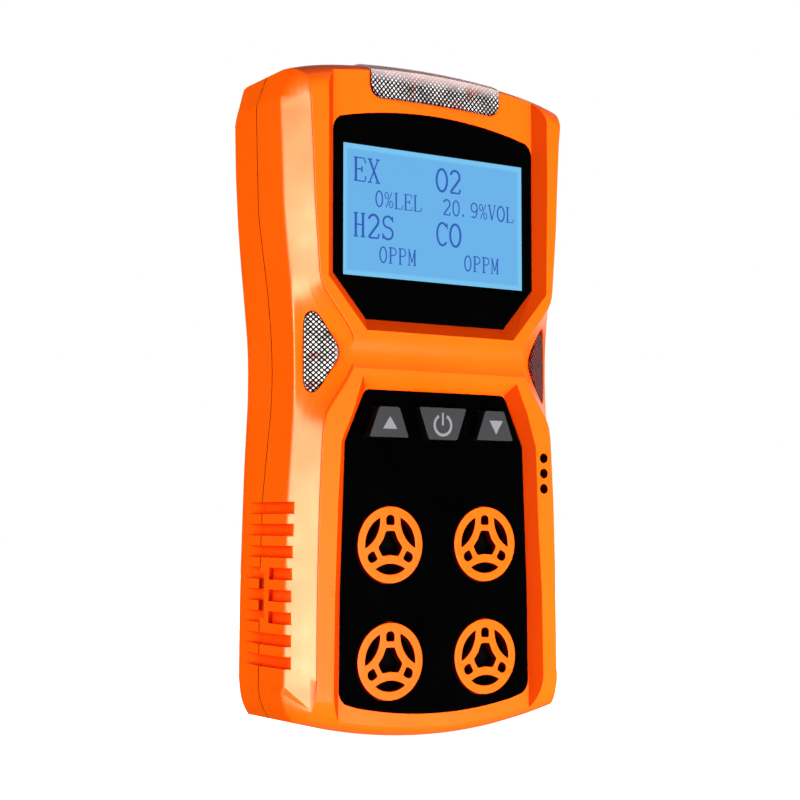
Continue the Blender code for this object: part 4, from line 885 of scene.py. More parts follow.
def front_depths():
    """Depths of the front shell's sections: fine across the rounded front, then the shoulder and the seam."""
    depths = {round(RAIL_Y + CROWN_DEPTH * (1 - math.cos(math.radians(9 * i))), 3) for i in range(11)}
    depths |= {round(RAIL_Y + EDGE_ROUND * t, 3) for t in (0.08, 0.3, 0.62, 1.0)}
    depths |= {RAIL_Y + LEDGE, RAIL_Y + LEDGE + 0.05}
    depths |= {round(SHOULDER_Y + SHOULDER_ROUND * t, 3) for t in (-1.0, -0.5, 0.0, 0.5, 1.0)}
    depths |= {SOLE_CORNER_START_Y, -12.7, -11.3, -4.0, -SEAM}
    ordered = []
    for depth in sorted(depths):
        if not ordered or depth - ordered[-1] > 0.02:
            ordered.append(depth)
    return ordered


def channel(floor, rim):
    """A drafted channel whose floor lies at the depth of the window and the key panel."""
    mouth_y = RAIL_Y - 3.0
    reach = (PANEL_Y - mouth_y) / (PANEL_Y - RAIL_Y)
    mouth = [(mix(a[0], b[0], reach), mix(a[1], b[1], reach)) for a, b in zip(floor, rim)]
    return loft([ring(mirrored(mouth), mouth_y), ring(mirrored(floor), PANEL_Y)])


GRIP_TOP = 44.4
GRIP_PITCH = 4.06
GRIP_ROWS = 8
GRIP_HEIGHT = 2.2
GRIP_DEPTH = 0.8
GRIP_BAR_ROWS = (3, 4, 5)
GRIP_BAR_Y = (-3.6, -1.9)
GRIP_SLOT_Z = (22.8, 31.2)
GRIP_REAR_DEPTH = 0.25
OUTSIDE_X = 40.0


def seam_half_width(z):
    for upper, lower in zip(SIDE_ROWS, SIDE_ROWS[1:]):
        if lower[0] <= z <= upper[0]:
            return mix(lower[4], upper[4], (z - lower[0]) / (upper[0] - lower[0]))
    return SIDE_ROWS[-1][4]


def side_cut(sign, floor, y, z):
    """A cut into one side of the shells, down to floor from the middle."""
    return block(sorted((sign * floor, sign * OUTSIDE_X)), y, z)


def grips(front):
    """Cutters for the grip grooves and for the slot between them."""
    made = []
    for sign in (-1, 1):
        for row in range(GRIP_ROWS):
            top = GRIP_TOP - GRIP_PITCH * row
            floor = seam_half_width(top - GRIP_HEIGHT / 2) - GRIP_DEPTH
            if front:
                depth = (SHOULDER_Y - 3.0, GRIP_BAR_Y[0] if row in GRIP_BAR_ROWS else 2.0)
            else:
                depth = (-2.0, REAR_Y + 1.0)
                floor -= GRIP_REAR_DEPTH
            made.append(side_cut(sign, floor, depth, (top - GRIP_HEIGHT, top)))
        floor = seam_half_width(sum(GRIP_SLOT_Z) / 2) - GRIP_DEPTH
        made.append(side_cut(sign, floor, (GRIP_BAR_Y[1], 2.0 if front else SEAM + 0.3), GRIP_SLOT_Z))
    return made


LCD_AREA_HALF = 21.1
LCD_AREA_Z = (LCD_LOW.z + 3.0, LCD_HIGH.z - 1.6)
KEY_OUTLINES = {
    "key_power": [(-5.5, 62.6), (5.5, 62.6), (3.3, 56.4), (-3.3, 56.4)],
    "key_down": [(10.0, 62.4), (14.5, 62.4), (16.7, 56.6), (7.9, 56.6)],
    "key_up": [(-14.5, 62.4), (-10.0, 62.4), (-7.9, 56.6), (-16.7, 56.6)],
}
GRILLE_R = 7.23


def sensor_places():
    """Tag and middle of each sensor grille."""
    for level in ("lower", "upper"):
        for side in ("left", "right"):
            low, high = span(f"sensor_grille_{level}_{side}")
            yield f"{level}_{side}", (low.x + high.x) / 2, (low.z + high.z) / 2


def hollow(insets):
    """The space inside a shell, from pairs of depth and distance to the outer face."""
    return loft([ring(offset_outline(section(y, SIDE_ROWS, 6, 2), -inset), y) for y, inset in insets])


def front_shell(look, shade_look, seam_shadow_look):
    body = loft([ring(section(y), y) for y in front_depths()])
    insets = ((FRONT_WALL_Y, FRONT_INNER_INSET), (FRONT_INNER_Y, SHELL_INSET), (1.0, SHELL_INSET))
    cutters = [hollow(insets), channel(UPPER_FLOOR, UPPER_RIM), channel(LOWER_FLOOR, LOWER_RIM)]
    cutters.append(prism(window_outline(), PANEL_Y - 1.0, POCKET_Y))
    cutters.append(prism(panel_outline(), PANEL_Y - 1.0, POCKET_Y))
    through = (POCKET_Y - 1.0, FRONT_WALL_Y + 1.0)
    half = LCD_AREA_HALF + 0.6
    cutters.append(block((-half, half), through, (LCD_AREA_Z[0] - 0.8, LCD_AREA_Z[1] + 0.8)))
    for outline in KEY_OUTLINES.values():
        cutters.append(prism(offset_outline(outline, KEY_OPENING_GAP), *through))
    for _, x, z in sensor_places():
        cutters.append(y_rod(SENSOR_OPENING_R, x, z, *through, 48))
    radius = (GROOVE_HALF**2 + GROOVE_DEPTH**2) / (2 * GROOVE_DEPTH)
    axis_y = RAIL_Y + GROOVE_DEPTH - radius
    cutters.append(rod(radius, (-GROOVE_REACH, axis_y, GROOVE_Z), (GROOVE_REACH, axis_y, GROOVE_Z), 160))
    for z in SOUND_HOLE_Z:
        cutters.append(y_rod(SOUND_HOLE_R, SOUND_HOLE_X, z, RAIL_Y - 1.0, FRONT_WALL_Y + 1.0, 32))
    cutters.append(top_lens_body(LENS_GAP, LENS_THICKNESS, 1.5))
    for side in (-1, 1):
        cutters.append(side_lens_plug(side, (-LENS_THICKNESS, 3.0), LENS_GAP))
    cutters += grips(True)
    body = softened(carved(body, cutters), SOFT_EDGE)
    made = piece("shell_front", body, look, stands_for=("front_housing",))
    # Painted shade: the channel walls take a darker copy of the orange.
    second_look(made, shade_look, in_shaded_channel_wall)
    # Painted shadow: near-black on the faces at the parting gap and inside the sound holes.
    second_look(made, seam_shadow_look, in_seam_shadow)
    crisp(made)


def in_shaded_channel_wall(centre, normal):
    """Faces where shade is painted: the drafted walls of the two channels, apart from those that face down.
    """
    deep_shade = RAIL_Y + 0.1 < centre.y < PANEL_Y - 0.02 and abs(centre.x) < GROOVE_REACH
    inwards = centre.x * normal.x < 0.01 and abs(centre.z - GROOVE_Z) > GROOVE_HALF + 0.2
    return deep_shade and inwards and -0.95 < normal.y < -0.3 and normal.z > -0.3


def in_seam_shadow(centre, normal):
    """Faces where shadow is painted near-black: the two faces that meet at the parting plane, or inside a
    sound hole.
    """
    near_hole = abs(centre.x - SOUND_HOLE_X) < SOUND_HOLE_R + 0.1 and between(centre.z, SOUND_HOLES_SPAN)
    parting = abs(centre.y) < 2 * SEAM and abs(normal.y) > 0.9
    return parting or (near_hole and abs(normal.y) < 0.5 and centre.y > RAIL_Y + 0.3)


def rear_depths():
    depths = [SEAM, 3.0, ROUND_Y]
    depths += [mix(ROUND_Y, REAR_Y, math.sin(math.radians(a))) for a in (20, 35, 48, 58, 66, 74, 82, 90)]
    return depths


def rear_shell(look, seam_shadow_look):
    body = loft([ring(section(y), y) for y in rear_depths()])
    pad = prism(rounded(REAR_PAD, REAR_PAD_CORNER_R, 6), REAR_Y - 0.5, REAR_PAD_Y)
    body = carved(body, [pad], "UNION")
    posts = []
    holes = []
    for node in HOUSING_SCREWS:
        low, high = span(node)
        x, z = (low.x + high.x) / 2, (low.z + high.z) / 2
        posts.append(y_rod(BOSS_R, x, z, SEAM, REAR_WALL_Y + 1.0, 32))
        holes.append(y_rod(SCREW_HOLE_R, x, z, -1.0, REAR_Y + 1.0, 24))
        holes.append(y_rod(SCREW_HEAD_R, x, z, SCREW_SEAT_Y, REAR_Y + 1.0, 40))
    for z in CLIP_SCREW_Z:
        posts.append(y_rod(CLIP_BOSS_R, 0.0, z, CLIP_BOSS_Y, REAR_WALL_Y + 1.2, 32))
        holes.append(y_rod(SCREW_HOLE_R, 0.0, z, CLIP_HOLE_Y, REAR_Y + 1.0, 24))
    body = carved(body, [hollow([(y, SHELL_INSET) for y in (-1.0, 8.2, REAR_WALL_Y)])])
    body = carved(body, posts, "UNION")
    holes.append(block(*COVER_RECESS))
    x, y = PORT_HIGH.x + PORT_GAP, (PORT_LOW.y - PORT_GAP, PORT_HIGH.y + PORT_GAP)
    holes.append(block((-x, x), y, PORT_OPENING_Z))
    body = softened(carved(body, holes + grips(False)), SOFT_EDGE)
    made = piece("shell_rear", body, look, stands_for=("rear_housing",))
    # Painted shadow: near-black on the faces at the parting gap.
    second_look(made, seam_shadow_look, in_seam_shadow)
    crisp(made)


# --- Lenses ---------------------------------------------------------------------------------------------

TOP_LENS_HALF = LENS_HIGH.x
TOP_LENS_Z = LENS_LOW.z
TOP_LENS_BACK_Y = LENS_HIGH.y
LENS_THICKNESS = 1.2
LENS_FLOOR_GAP = 0.3
LENS_PROUD = 0.35
LENS_CORNER_R = 2.6


def crown_line(x, low_z):
    """Points up the forehead, over the front fillet and along the crown at x, with their normals."""
    face = [(PANEL_Y, low_z, -1.0, 0.0)]
    start = (PANEL_Y - RAIL_Y) / CROWN_DEPTH
    corner_z = crown_z(x) - CROWN_DROP * quarter(start)
    for i in range(1, 5):
        face.append((PANEL_Y, mix(low_z, corner_z - 0.15, i / 5), -1.0, 0.0))
    for i in range(13):
        t = mix(start, 1.0, i / 12)
        slope = CROWN_DROP / CROWN_DEPTH * (1.0 - t) / math.sqrt(max(1e-6, 1.0 - (1.0 - t) ** 2))
        normal = Vector((-slope, 1.0)).normalized()
        face.append((RAIL_Y + CROWN_DEPTH * t, crown_z(x) - CROWN_DROP * quarter(t), normal.x, normal.y))
    for i in range(1, 7):
        face.append((mix(RAIL_Y + CROWN_DEPTH, TOP_LENS_BACK_Y, i / 6), crown_z(x), 0.0, 1.0))
    return face


def top_lens_body(grow, inner, outer):
    """The band of the top lens between two distances from the surface, its lower corners rounded."""
    half = TOP_LENS_HALF + grow
    stations = [mix(-half, half, i / 24) for i in range(25)]
    for k in range(1, 6):
        x = half - LENS_CORNER_R * (1 - math.sin(math.radians(18 * k)))
        stations += [x, -x]
    rings = []
    last = None
    for x in sorted(stations):
        if last is not None and x - last < 0.05:
            continue
        last = x
        depth = max(0.0, abs(x) - (half - LENS_CORNER_R))
        low_z = TOP_LENS_Z - grow + LENS_CORNER_R - math.sqrt(max(0.0, LENS_CORNER_R**2 - depth**2))
        low_z -= 0.4 * (x / half) ** 2 - 0.4
        line = crown_line(x, low_z)
        top = [(x, y + ny * outer, z + nz * outer) for y, z, ny, nz in line]
        bottom = [(x, y - ny * inner, z - nz * inner) for y, z, ny, nz in reversed(line)]
        made = []
        for px, y, z in top + bottom:
            if y > TOP_LENS_BACK_Y - 0.01:
                y += grow
            made.append((px, y, z))
        rings.append(made)
    return loft(rings)


WAIST_RAIL = Vector((20.1, RAIL_Y + LEDGE, GROOVE_Z))
WAIST_SHOULDER = Vector((29.54, SHOULDER_Y, GROOVE_Z))
SIDE_LENS_OUTLINE = [(1.9, 0.0), (6.9, 7.9), (9.0, 6.9), (9.0, -6.9), (6.9, -7.9)]
SIDE_LENS_CORNER_R = 2.4
# Where a lens begins to turn pale and where it is palest, along its own up direction, and how pale it gets
TOP_VEIL = (104.6, 107.6, 0.9)
SIDE_VEIL = (10.5, 8.0, 0.6)


def waist_axes(side):
    """Origin, outward direction and normal of the sloping waist face that carries a side lens."""
    outwards = (WAIST_SHOULDER - WAIST_RAIL).normalized()
    normal = Vector((outwards.y, -outwards.x, 0.0))
    origin = WAIST_RAIL.copy()
    for vector in (origin, outwards, normal):
        vector.x *= side
    return origin, outwards, normal


def side_lens_outline(grow=0.0):
    outline = rounded(SIDE_LENS_OUTLINE, SIDE_LENS_CORNER_R, 6)
    return offset_outline(outline, grow) if grow else outline


def side_lens_plug(side, depth, grow):
    """The body of a side lens between two distances from its face."""
    origin, outwards, normal = waist_axes(side)
    rings = []
    for level in depth:
        points = []
        for out, height in side_lens_outline(grow):
            points.append(origin + outwards * out + normal * level + Vector((0.0, 0.0, height)))
        rings.append(points)
    return loft(rings)


def lenses():
    look = prismatic("top", (1.0, 0.0, 0.0), (0.0, 1.0, 1.0), *TOP_VEIL)
    body = top_lens_body(0.0, LENS_THICKNESS - LENS_FLOOR_GAP, LENS_PROUD)
    piece("lens_top", body, look, stands_for=("alarm_lens_top",))
    for side, tag in ((-1, "left"), (1, "right")):
        _, outwards, _ = waist_axes(side)
        look = prismatic(tag, (0.0, 0.0, 1.0), outwards, *SIDE_VEIL)
        plug = side_lens_plug(side, (-LENS_THICKNESS + LENS_FLOOR_GAP, LENS_PROUD), 0.0)
        piece(f"lens_{tag}", softened(plug, 0.2), look, stands_for=(f"alarm_lens_{tag}",))


# --- Window, display, panel -----------------------------------------------------------------------------

DISPLAY_Y = PANEL_Y + 0.35


def window(look):
    half = LCD_AREA_HALF
    opening = [(-half, LCD_AREA_Z[0]), (half, LCD_AREA_Z[0]), (half, LCD_AREA_Z[1]), (-half, LCD_AREA_Z[1])]
    mesh = plate([window_outline(INLAY_GAP), opening], PANEL_Y, WINDOW_HIGH.y, 0.04, 1)
    piece("window_frame", mesh, look, stands_for=("display_window",))


def display(look):
    half = LCD_AREA_HALF + 0.3
    mesh = block((-half, half), (DISPLAY_Y, DISPLAY_Y + 0.6), (LCD_AREA_Z[0] - 0.3, LCD_AREA_Z[1] + 0.3))
    piece("display_layer", softened(mesh, 0.05), look)


CELL_WIDTH = 8
CELL_HEIGHT = 14
READING_THICKNESS = 0.18
THICK = 0.75
THIN = 0.44


def oval(centre, radius, first=0, last=360, count=18):
    return arc(centre, radius, first, last, count)


def stem(x, half=THICK):
    return half, [(x, 0), (x, CELL_HEIGHT)]


def dash(start, end, z):
    return THIN, [(start, z), (end, z)]


# Strokes of each character on a cell 8 wide and 14 high: half width of the line, then its points
GLYPHS = {
    "E": [stem(2), (THIN, [(0.8, 14), (6.9, 14), (7.3, 11)]), dash(2, 5.4, 7.2),
          (THIN, [(5.4, 9), (5.4, 5.4)]), (THIN, [(0.8, 0), (7, 0), (7.6, 3.2)])],
    "X": [(THICK, [(1.6, 14), (6.5, 0)]), (THIN, [(6.4, 14), (1.7, 0)]), dash(0.6, 3, 14), dash(5.2, 7.4, 14),
          dash(0.6, 2.9, 0), dash(5, 7.6, 0)],
    "O": [(THICK, oval((4, 7), (3.1, 7)))],
    "0": [(THICK * 0.9, oval((4, 7), (2.7, 7)))],
    "2": [(THICK, oval((3.9, 10.2), (2.7, 3.8), 165, -30, 12) + [(1.3, 0.5)]),
          (THIN * 1.4, [(1.2, 0), (6.4, 0), (7, 2.6)])],
    "H": [stem(2), stem(6), dash(2, 6, 7.2), dash(0.8, 3.2, 14), dash(4.8, 7.2, 14), dash(0.8, 3.2, 0),
          dash(4.8, 7.2, 0)],
    "S": [(THICK * 0.85, oval((4, 10.6), (2.6, 3.4), 25, 250, 12) + oval((4, 3.6), (2.8, 3.6), 75, -155, 12)),
          (THIN, [(6.6, 14), (6.8, 10.8)]), (THIN, [(1.3, 0), (1.1, 3.4)])],
    "C": [(THICK * 0.9, oval((4.3, 7), (3.1, 7), 42, 318, 18)), (THIN, [(7, 14), (7.2, 10.4)])],
    "%": [(THIN, oval((2.1, 10.8), (1.4, 2.9))), (THIN, oval((5.9, 3.2), (1.4, 2.9))),
          (THIN, [(6.4, 14), (1.6, 0)])],
    "L": [stem(2.1), dash(0.8, 3.5, 14), (THIN, [(0.8, 0), (6.9, 0), (7.5, 3.4)])],
    "V": [(THICK, [(1.4, 14), (4, 0)]), (THIN, [(6.6, 14), (4, 0)]), dash(0.4, 2.8, 14), dash(5.4, 7.6, 14)],
    "P": [stem(2.1),
          (THIN * 1.2, [(0.8, 14), (4.2, 14)] + oval((4.2, 10.6), (2.6, 3.4), 90, -90, 9) + [(2.1, 7.2)]),
          dash(0.8, 3.6, 0)],
    "M": [stem(1.6, THIN), stem(6.4), (THICK * 0.8, [(1.6, 14), (4, 2.4)]), (THIN, [(6.4, 14), (4, 2.4)]),
          dash(0.6, 2.6, 0), dash(5.2, 7.5, 0), dash(0.6, 1.6, 14), dash(6.4, 7.5, 14)],
    ".": [(THICK * 1.5, [(1.6, 1.1), (2.8, 1.1)])],
    "9": [(THICK * 0.85, oval((4, 9.8), (2.7, 4.2))),
          (THICK * 0.85, [(6.7, 9.8)] + oval((3.0, 7.0), (3.6, 6.9), 10, -75, 8) + [(1.6, 1.5)])],
}
BIG_TEXT = (3.2, 4.45)
SMALL_TEXT = (2.19, 3.0)
# Reading, left edge, base line, and the width and height of a character
READINGS = [
    ("EX", -18.95, 105.3, BIG_TEXT),
    ("0%LEL", -14.0, 100.8, SMALL_TEXT),
    ("O2", 0.0, 105.3, BIG_TEXT),
    ("20.9%VOL", 1.7, 100.8, SMALL_TEXT),
    ("H2S", -18.95, 94.65, BIG_TEXT),
    ("0PPM", -13.1, 90.1, SMALL_TEXT),
    ("CO", 0.0, 94.65, BIG_TEXT),
    ("0PPM", 6.7, 90.1, SMALL_TEXT),
]


def readings(look):
    """The lit characters, as flattened bars just above the display layer."""
    lines = []
    for text, left, base, (width, height) in READINGS:
        across, up = width / CELL_WIDTH, height / CELL_HEIGHT
        for i, letter in enumerate(text):
            for half, line in GLYPHS[letter]:
                radius = half * (across + up) / 2
                lines.append([(left + i * width + x * across, 0.0, base + z * up, radius) for x, z in line])
    flat = Matrix.Diagonal((1.0, READING_THICKNESS, 1.0, 1.0))
    mesh = welded(curve_through(lines, 1.0, 1), Matrix.Translation((0.0, DISPLAY_Y - 0.01, 0.0)) @ flat)
    piece("display_readings", mesh, look)


def panel(look):
    outlines = [panel_outline(INLAY_GAP)]
    for outline in KEY_OUTLINES.values():
        outlines.append(offset_outline(rounded(outline, 0.4), 0.28))
    for _, x, z in sensor_places():
        outlines.append(circle((x, z), GRILLE_R + 0.2, 72))
    mesh = plate(outlines, PANEL_Y, PANEL_HIGH.y, 0.05, 1)
    piece("key_panel", mesh, look, stands_for=("keypad_panel",))


KEY_FLANGE_Y = -9.8
KEY_FLANGE = 0.8


def key(name, cap_look, side_shade_look):
    """A drafted cap with rounded rims and its flange behind the panel."""
    outline = rounded(KEY_OUTLINES[name], 0.45, 5)
    front = KEY_LOW.y
    profile = [(front, -0.14), (front + 0.03, -0.06), (front + 0.08, -0.02), (front + 0.16, 0.0)]
    profile += [(KEY_FLANGE_Y, 0.0), (KEY_FLANGE_Y + 0.02, KEY_FLANGE), (KEY_HIGH.y, KEY_FLANGE)]
    rings = [ring(offset_outline(outline, grow) if grow else outline, y) for y, grow in profile]
    made = piece(name + "_cap", loft(rings), cap_look, body=name, stands_for=(name,))
    # Painted shade: the cap's faces that don't face the front are near-black.
    second_look(made, side_shade_look, lambda centre, normal: normal.y > -0.3)


ARROWS = {
    "key_up": [(-13.75, 58.2), (-10.55, 58.2), (-12.15, 60.6)],
    "key_down": [(10.9, 60.5), (14.15, 60.5), (12.52, 57.8)],
}
POWER_CENTRE = (-0.13, 59.25)
POWER_RADII = (2.2, 1.65)
POWER_GAP = 28
POWER_BAR_HALF = 0.22
POWER_BAR_Z = (59.2, 61.6)


def legends(look):
    """The printed arrows and the power sign, just proud of the keys."""
    y = (KEY_LOW.y - 0.03, KEY_LOW.y + 0.2)
    for name, outline in ARROWS.items():
        mesh = plate([rounded(outline, 0.12, 2)], *y, 0.02, 1)
        piece(name + "_legend", mesh, look, body=name)
    first, last = 90 + POWER_GAP, 450 - POWER_GAP
    outer, inner = POWER_RADII
    open_ring = arc(POWER_CENTRE, outer, first, last, 40) + arc(POWER_CENTRE, inner, last, first, 40)
    left, right = POWER_CENTRE[0] - POWER_BAR_HALF, POWER_CENTRE[0] + POWER_BAR_HALF
    low, high = POWER_BAR_Z
    bar = [(left, low), (right, low), (right, high), (left, high)]
    mesh = combine([plate([open_ring], *y, 0.02, 1), plate([bar], *y, 0.02, 1)])
    piece("key_power_legend", mesh, look, body="key_power")


GRILLE_RING_R = 5.6
GRILLE_LENS_R = 6.1
GRILLE_LENS_OFFSET = 9.64
GRILLE_HOLE_SIDE = 1.9
# Outlines that point along +X, before they are turned to their three places
GRILLE_SLOT_END = ((4.85, 0.0), (0.8, 0.93))
GRILLE_SLOT_FOOT = [(4.0, 0.93), (3.75, 0.68), (3.75, -0.68), (4.0, -0.93)]
GRILLE_HOLE_TIP = [(2.36, -1.06), (2.58, -0.86), (2.64, 0.0), (2.58, 0.86), (2.36, 1.06)]


def grille_openings():
    """Outlines of a grille's centre hole, three leaf-shaped openings and three slots."""
    d, big, small = GRILLE_LENS_OFFSET, GRILLE_RING_R, GRILLE_LENS_R
    reach = (d * d + big * big - small * small) / (2 * d)
    half = math.degrees(math.acos(reach / big)) - 0.8
    back = math.degrees(math.acos((d - reach) / small)) - 0.8
    leaf = arc((0, 0), big, -half, half, 14) + arc((d, 0), small, 180 - back, 180 + back, 14)
    slot = arc(*GRILLE_SLOT_END, -90, 90, 9) + GRILLE_SLOT_FOOT
    hole = []
    around = []
    for turn in (0, 120, 240):
        hole += turned_outline(GRILLE_HOLE_TIP, 90 + turn)
        hole += turned_outline([(GRILLE_HOLE_SIDE, 0.0)], 150 + turn)
        around += [turned_outline(leaf, -90 + turn), turned_outline(slot, 90 + turn)]
    return [hole] + around


def grilles(look, shade_look):
    openings = grille_openings()
    for tag, x, z in sensor_places():
        node = f"sensor_grille_{tag}"
        low, high = span(node)
        outlines = [circle((x, z), GRILLE_R, 96)]
        outlines += [moved_outline(outline, x, z) for outline in openings]
        mesh = plate(outlines, low.y, high.y, 0.14, 3)
        made = piece(f"grille_{tag}", mesh, look, stands_for=(node,))
        # Painted shade: the walls of the openings, the rim and the back of each grille are a near-black red.
        second_look(made, shade_look, lambda centre, normal: abs(normal.y) < 0.5 or centre.y > low.y + 0.4)


# --- Belt clip ------------------------------------------------------------------------------------------

PIVOT = (PIN_LOW + PIN_HIGH) / 2
CLIP_HALF = LEVER_HIGH.x
CLIP_BACK_Y = LEVER_HIGH.y
CLIP_SHEET = 1.2
CLIP_STRAIGHT = [(CLIP_BACK_Y, LEVER_HIGH.z), (CLIP_BACK_Y, 84.0)]
CLIP_LINE = CLIP_STRAIGHT + [(17.0, 52.6), (16.5, 50.4), (18.2, LEVER_LOW.z)]
CLIP_BEND = 2.2
CLIP_CORNER_R = 3.2
CLIP_EAR_R = 3.4
CLIP_EAR_GAP = 0.15
CLIP_EAR_FOOT = (-6.5, 11.0)
CLIP_PIN_HOLE_R = 1.8
SPRING_COIL_R = 2.5
SPRING_WIRE_R = 0.4
SPRING_LENGTH = 9.0
SPRING_TURNS = 4.5
SPRING_STEPS = 32
SPRING_GAP = 0.3
SPRING_BLEND = (-3.0, 4.0)
# Legs of the spring, as distance from the sheet they lie on and height above the pin
BASE_LEG = [(0.0, 6.5), (0.0, 3.5)]
LEVER_LEG = [(-2.0, 5.0), (-0.4, 7.0), (0.0, 8.0), (0.0, 16.0)]


def bent(line, reach):
    """An open line with each corner turned into a curve that starts reach away from it."""
    made = [Vector(line[0])]
    for before, here, after in zip(line, line[1:], line[2:]):
        made += corner_curve(before, here, after, reach, 0.5, 6)
    return made + [Vector(line[-1])]


def sheet_outline(line, thickness):
    """A band of the given thickness on the inner side of a line."""
    inner = []
    for i, here in enumerate(line):
        along_line = (line[min(i + 1, len(line) - 1)] - line[max(i - 1, 0)]).normalized()
        inner.append(here + Vector((along_line.y, -along_line.x)) * thickness)
    return list(line) + inner[::-1]


def side_plate(outline, x_low, x_high):
    """A flat outline in Y and Z with a thickness along X."""
    mesh = prism(outline, x_low, x_high)
    mesh.transform(Matrix(((0, 1, 0, 0), (1, 0, 0, 0), (0, 0, 1, 0), (0, 0, 0, 1))))
    mesh.flip_normals()
    return mesh


def clip_lever(look):
    """A bent sheet with rounded corners, and two ears that hold the pin."""
    lever = side_plate(sheet_outline(bent(CLIP_LINE, CLIP_BEND), CLIP_SHEET), -CLIP_HALF, CLIP_HALF)
    low, high = LEVER_LOW.z - 1.0, LEVER_HIGH.z
    face = [(-CLIP_HALF, low), (CLIP_HALF, low), (CLIP_HALF, high), (-CLIP_HALF, high)]
    lever = carved(lever, [prism(rounded(face, CLIP_CORNER_R, 8), 10.0, 35.0)], "INTERSECT")
    inner = CLIP_BACK_Y - CLIP_SHEET / 2
    ear = arc((PIVOT.y, PIVOT.z), CLIP_EAR_R, 110, 250, 24) + [(inner, PIVOT.z + z) for z in CLIP_EAR_FOOT]
    outside = CLIP_HALF - CLIP_EAR_GAP
    ears = [side_plate(ear, *sorted((sign * (outside - CLIP_SHEET), sign * outside))) for sign in (-1, 1)]
    lever = carved(lever, ears, "UNION")
    reach = CLIP_HALF + 2.0
    hole = rod(CLIP_PIN_HOLE_R, (-reach, PIVOT.y, PIVOT.z), (reach, PIVOT.y, PIVOT.z), 32)
    lever = softened(carved(lever, [hole]), 0.2)
    piece("clip_lever", lever, look, "belt_clip", stands_for=("belt_clip",), sharp=50)


def clip_coil(look):
    """Torsion spring around the pin, with one leg lying on the base and the other on the lever."""
    base_y = BASE_Y + CLIP_SHEET + SPRING_GAP + SPRING_WIRE_R
    pad_y = CLIP_BACK_Y - CLIP_SHEET - SPRING_GAP - SPRING_WIRE_R
    end = SPRING_LENGTH / 2
    points = [(-end, base_y + y, PIVOT.z + z, 1.0) for y, z in BASE_LEG]
    count = int(SPRING_TURNS * SPRING_STEPS)
    for i in range(count + 1):
        angle = math.pi * (1 + 2 * i / SPRING_STEPS)
        y, z = PIVOT.y + SPRING_COIL_R * math.cos(angle), PIVOT.z + SPRING_COIL_R * math.sin(angle)
        points.append((mix(-end, end, i / count), y, z, 1.0))
    points += [(end, pad_y + y, PIVOT.z + z, 1.0) for y, z in LEVER_LEG]
    mesh = evaluated(new_object("coil", curve_through([points], SPRING_WIRE_R, 3)))
    mesh.transform(INTO_FRAME)
    mesh.materials.clear()
    mesh.materials.append(look)
    mesh.shade_smooth()
    made = new_object("clip_coil", mesh)
    middle = in_frame(PIVOT)
    start, end = (tuple(middle + Vector((0.0, reach, 0.0)) * MM) for reach in SPRING_BLEND)
    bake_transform(made)
    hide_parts("clip_spring")


# --- Frame nodes that keep their shape ------------------------------------------------------------------


def dress(look, *names, edge=0.0):
    """Gives frame nodes a finished material and, where edge is given in millimetres, rounded edges."""
    for name in names:
        node = frame["nodes"][name]
        node.data.materials.clear()
        node.data.materials.append(look)
        if edge:
            bevel = node.modifiers.new("rounded_edges", "BEVEL")
            bevel.width = edge * MM
            bevel.segments = 2
            bevel.limit_method = "ANGLE"
            bevel.angle_limit = math.radians(35)
            bevel.harden_normals = True


def nodes_starting(*starts):
    return [name for name in frame["nodes"] if name.startswith(starts)]


# --- Stage ----------------------------------------------------------------------------------------------

AZIMUTH = -33.0
ELEVATION = -4.2
DISTANCE = 317.1
AIM = Vector((-8.4, -13.4, 63.9))
FOCAL = 74.8


FLOOR_LIGHT = 0.04
FLOOR_SEEN = 1.0
FLOOR_COLOR = (0.8, 0.8, 0.8)
FLOOR_UNSEEN_COLOR = (0.12, 0.11, 0.09)
FLOOR_HALF = 3.0
FLOOR_DROP = 0.0004
ROOM_LEFT = (0.12, 0.07, 0.0)
ROOM_RIGHT = (0.12, 0.12, 0.125)
ROOM_EDGES = (0.1, 0.4)
WARM = (1.0, 0.9, 0.58)
WHITE = (1.0, 1.0, 1.0)
LIGHTS_AIM = Vector((0.0, 0.0, 65.0))
# Azimuth, elevation, distance, width and height in metres, radiance, whether matt and glossy surfaces show
# it, and colour
SOFTBOXES = {
    "key": (8.0, -20.0, 650.0, (0.42, 0.42), 23.0, True, False, WHITE),
    "strip": (-73.0, -3.6, 600.0, (0.17, 0.36), 26.0, False, True, WARM),
    "side_fill": (-100.0, -2.0, 900.0, (0.5, 0.5), 13.0, True, False, WHITE),
    "back": (135.0, 24.0, 900.0, (0.6, 0.6), 11.0, True, False, WHITE),
    "back_shine": (138.0, 8.0, 900.0, (1.0, 0.8), 0.9, False, True, WHITE),
}


def aimed(made, aim, azimuth, elevation, distance):
    """Turns an object towards aim from azimuth and elevation, in degrees; azimuth 0 is in front."""
    a, e = math.radians(azimuth), math.radians(elevation)
    toward = Vector((math.sin(a) * math.cos(e), -math.cos(a) * math.cos(e), math.sin(e)))
    made.location = in_frame(aim + toward * distance)
    made.rotation_mode = "QUATERNION"
    made.rotation_quaternion = (-toward).to_track_quat("-Z", "Y")
    return made


def camera():
    made = aimed(new_object("camera", bpy.data.cameras.new("camera")), AIM, AZIMUTH, ELEVATION, DISTANCE)
    made.data.lens = FOCAL
    made.data.clip_start = 0.01
    bpy.context.scene.camera = made


def softbox(name, azimuth, elevation, distance, size, radiance, diffuse, glossy, color):
    """A rectangular light that faces the object; diffuse and glossy say which reflections it shows in."""
    data = bpy.data.lights.new(name, "AREA")
    data.shape = "RECTANGLE"
    data.size, data.size_y = size
    data.energy = radiance * math.pi * size[0] * size[1]
    data.color = color
    made = aimed(new_object(name, data), LIGHTS_AIM, azimuth, elevation, distance)
    made.visible_camera = False
    made.visible_diffuse = diffuse
    made.visible_glossy = glossy


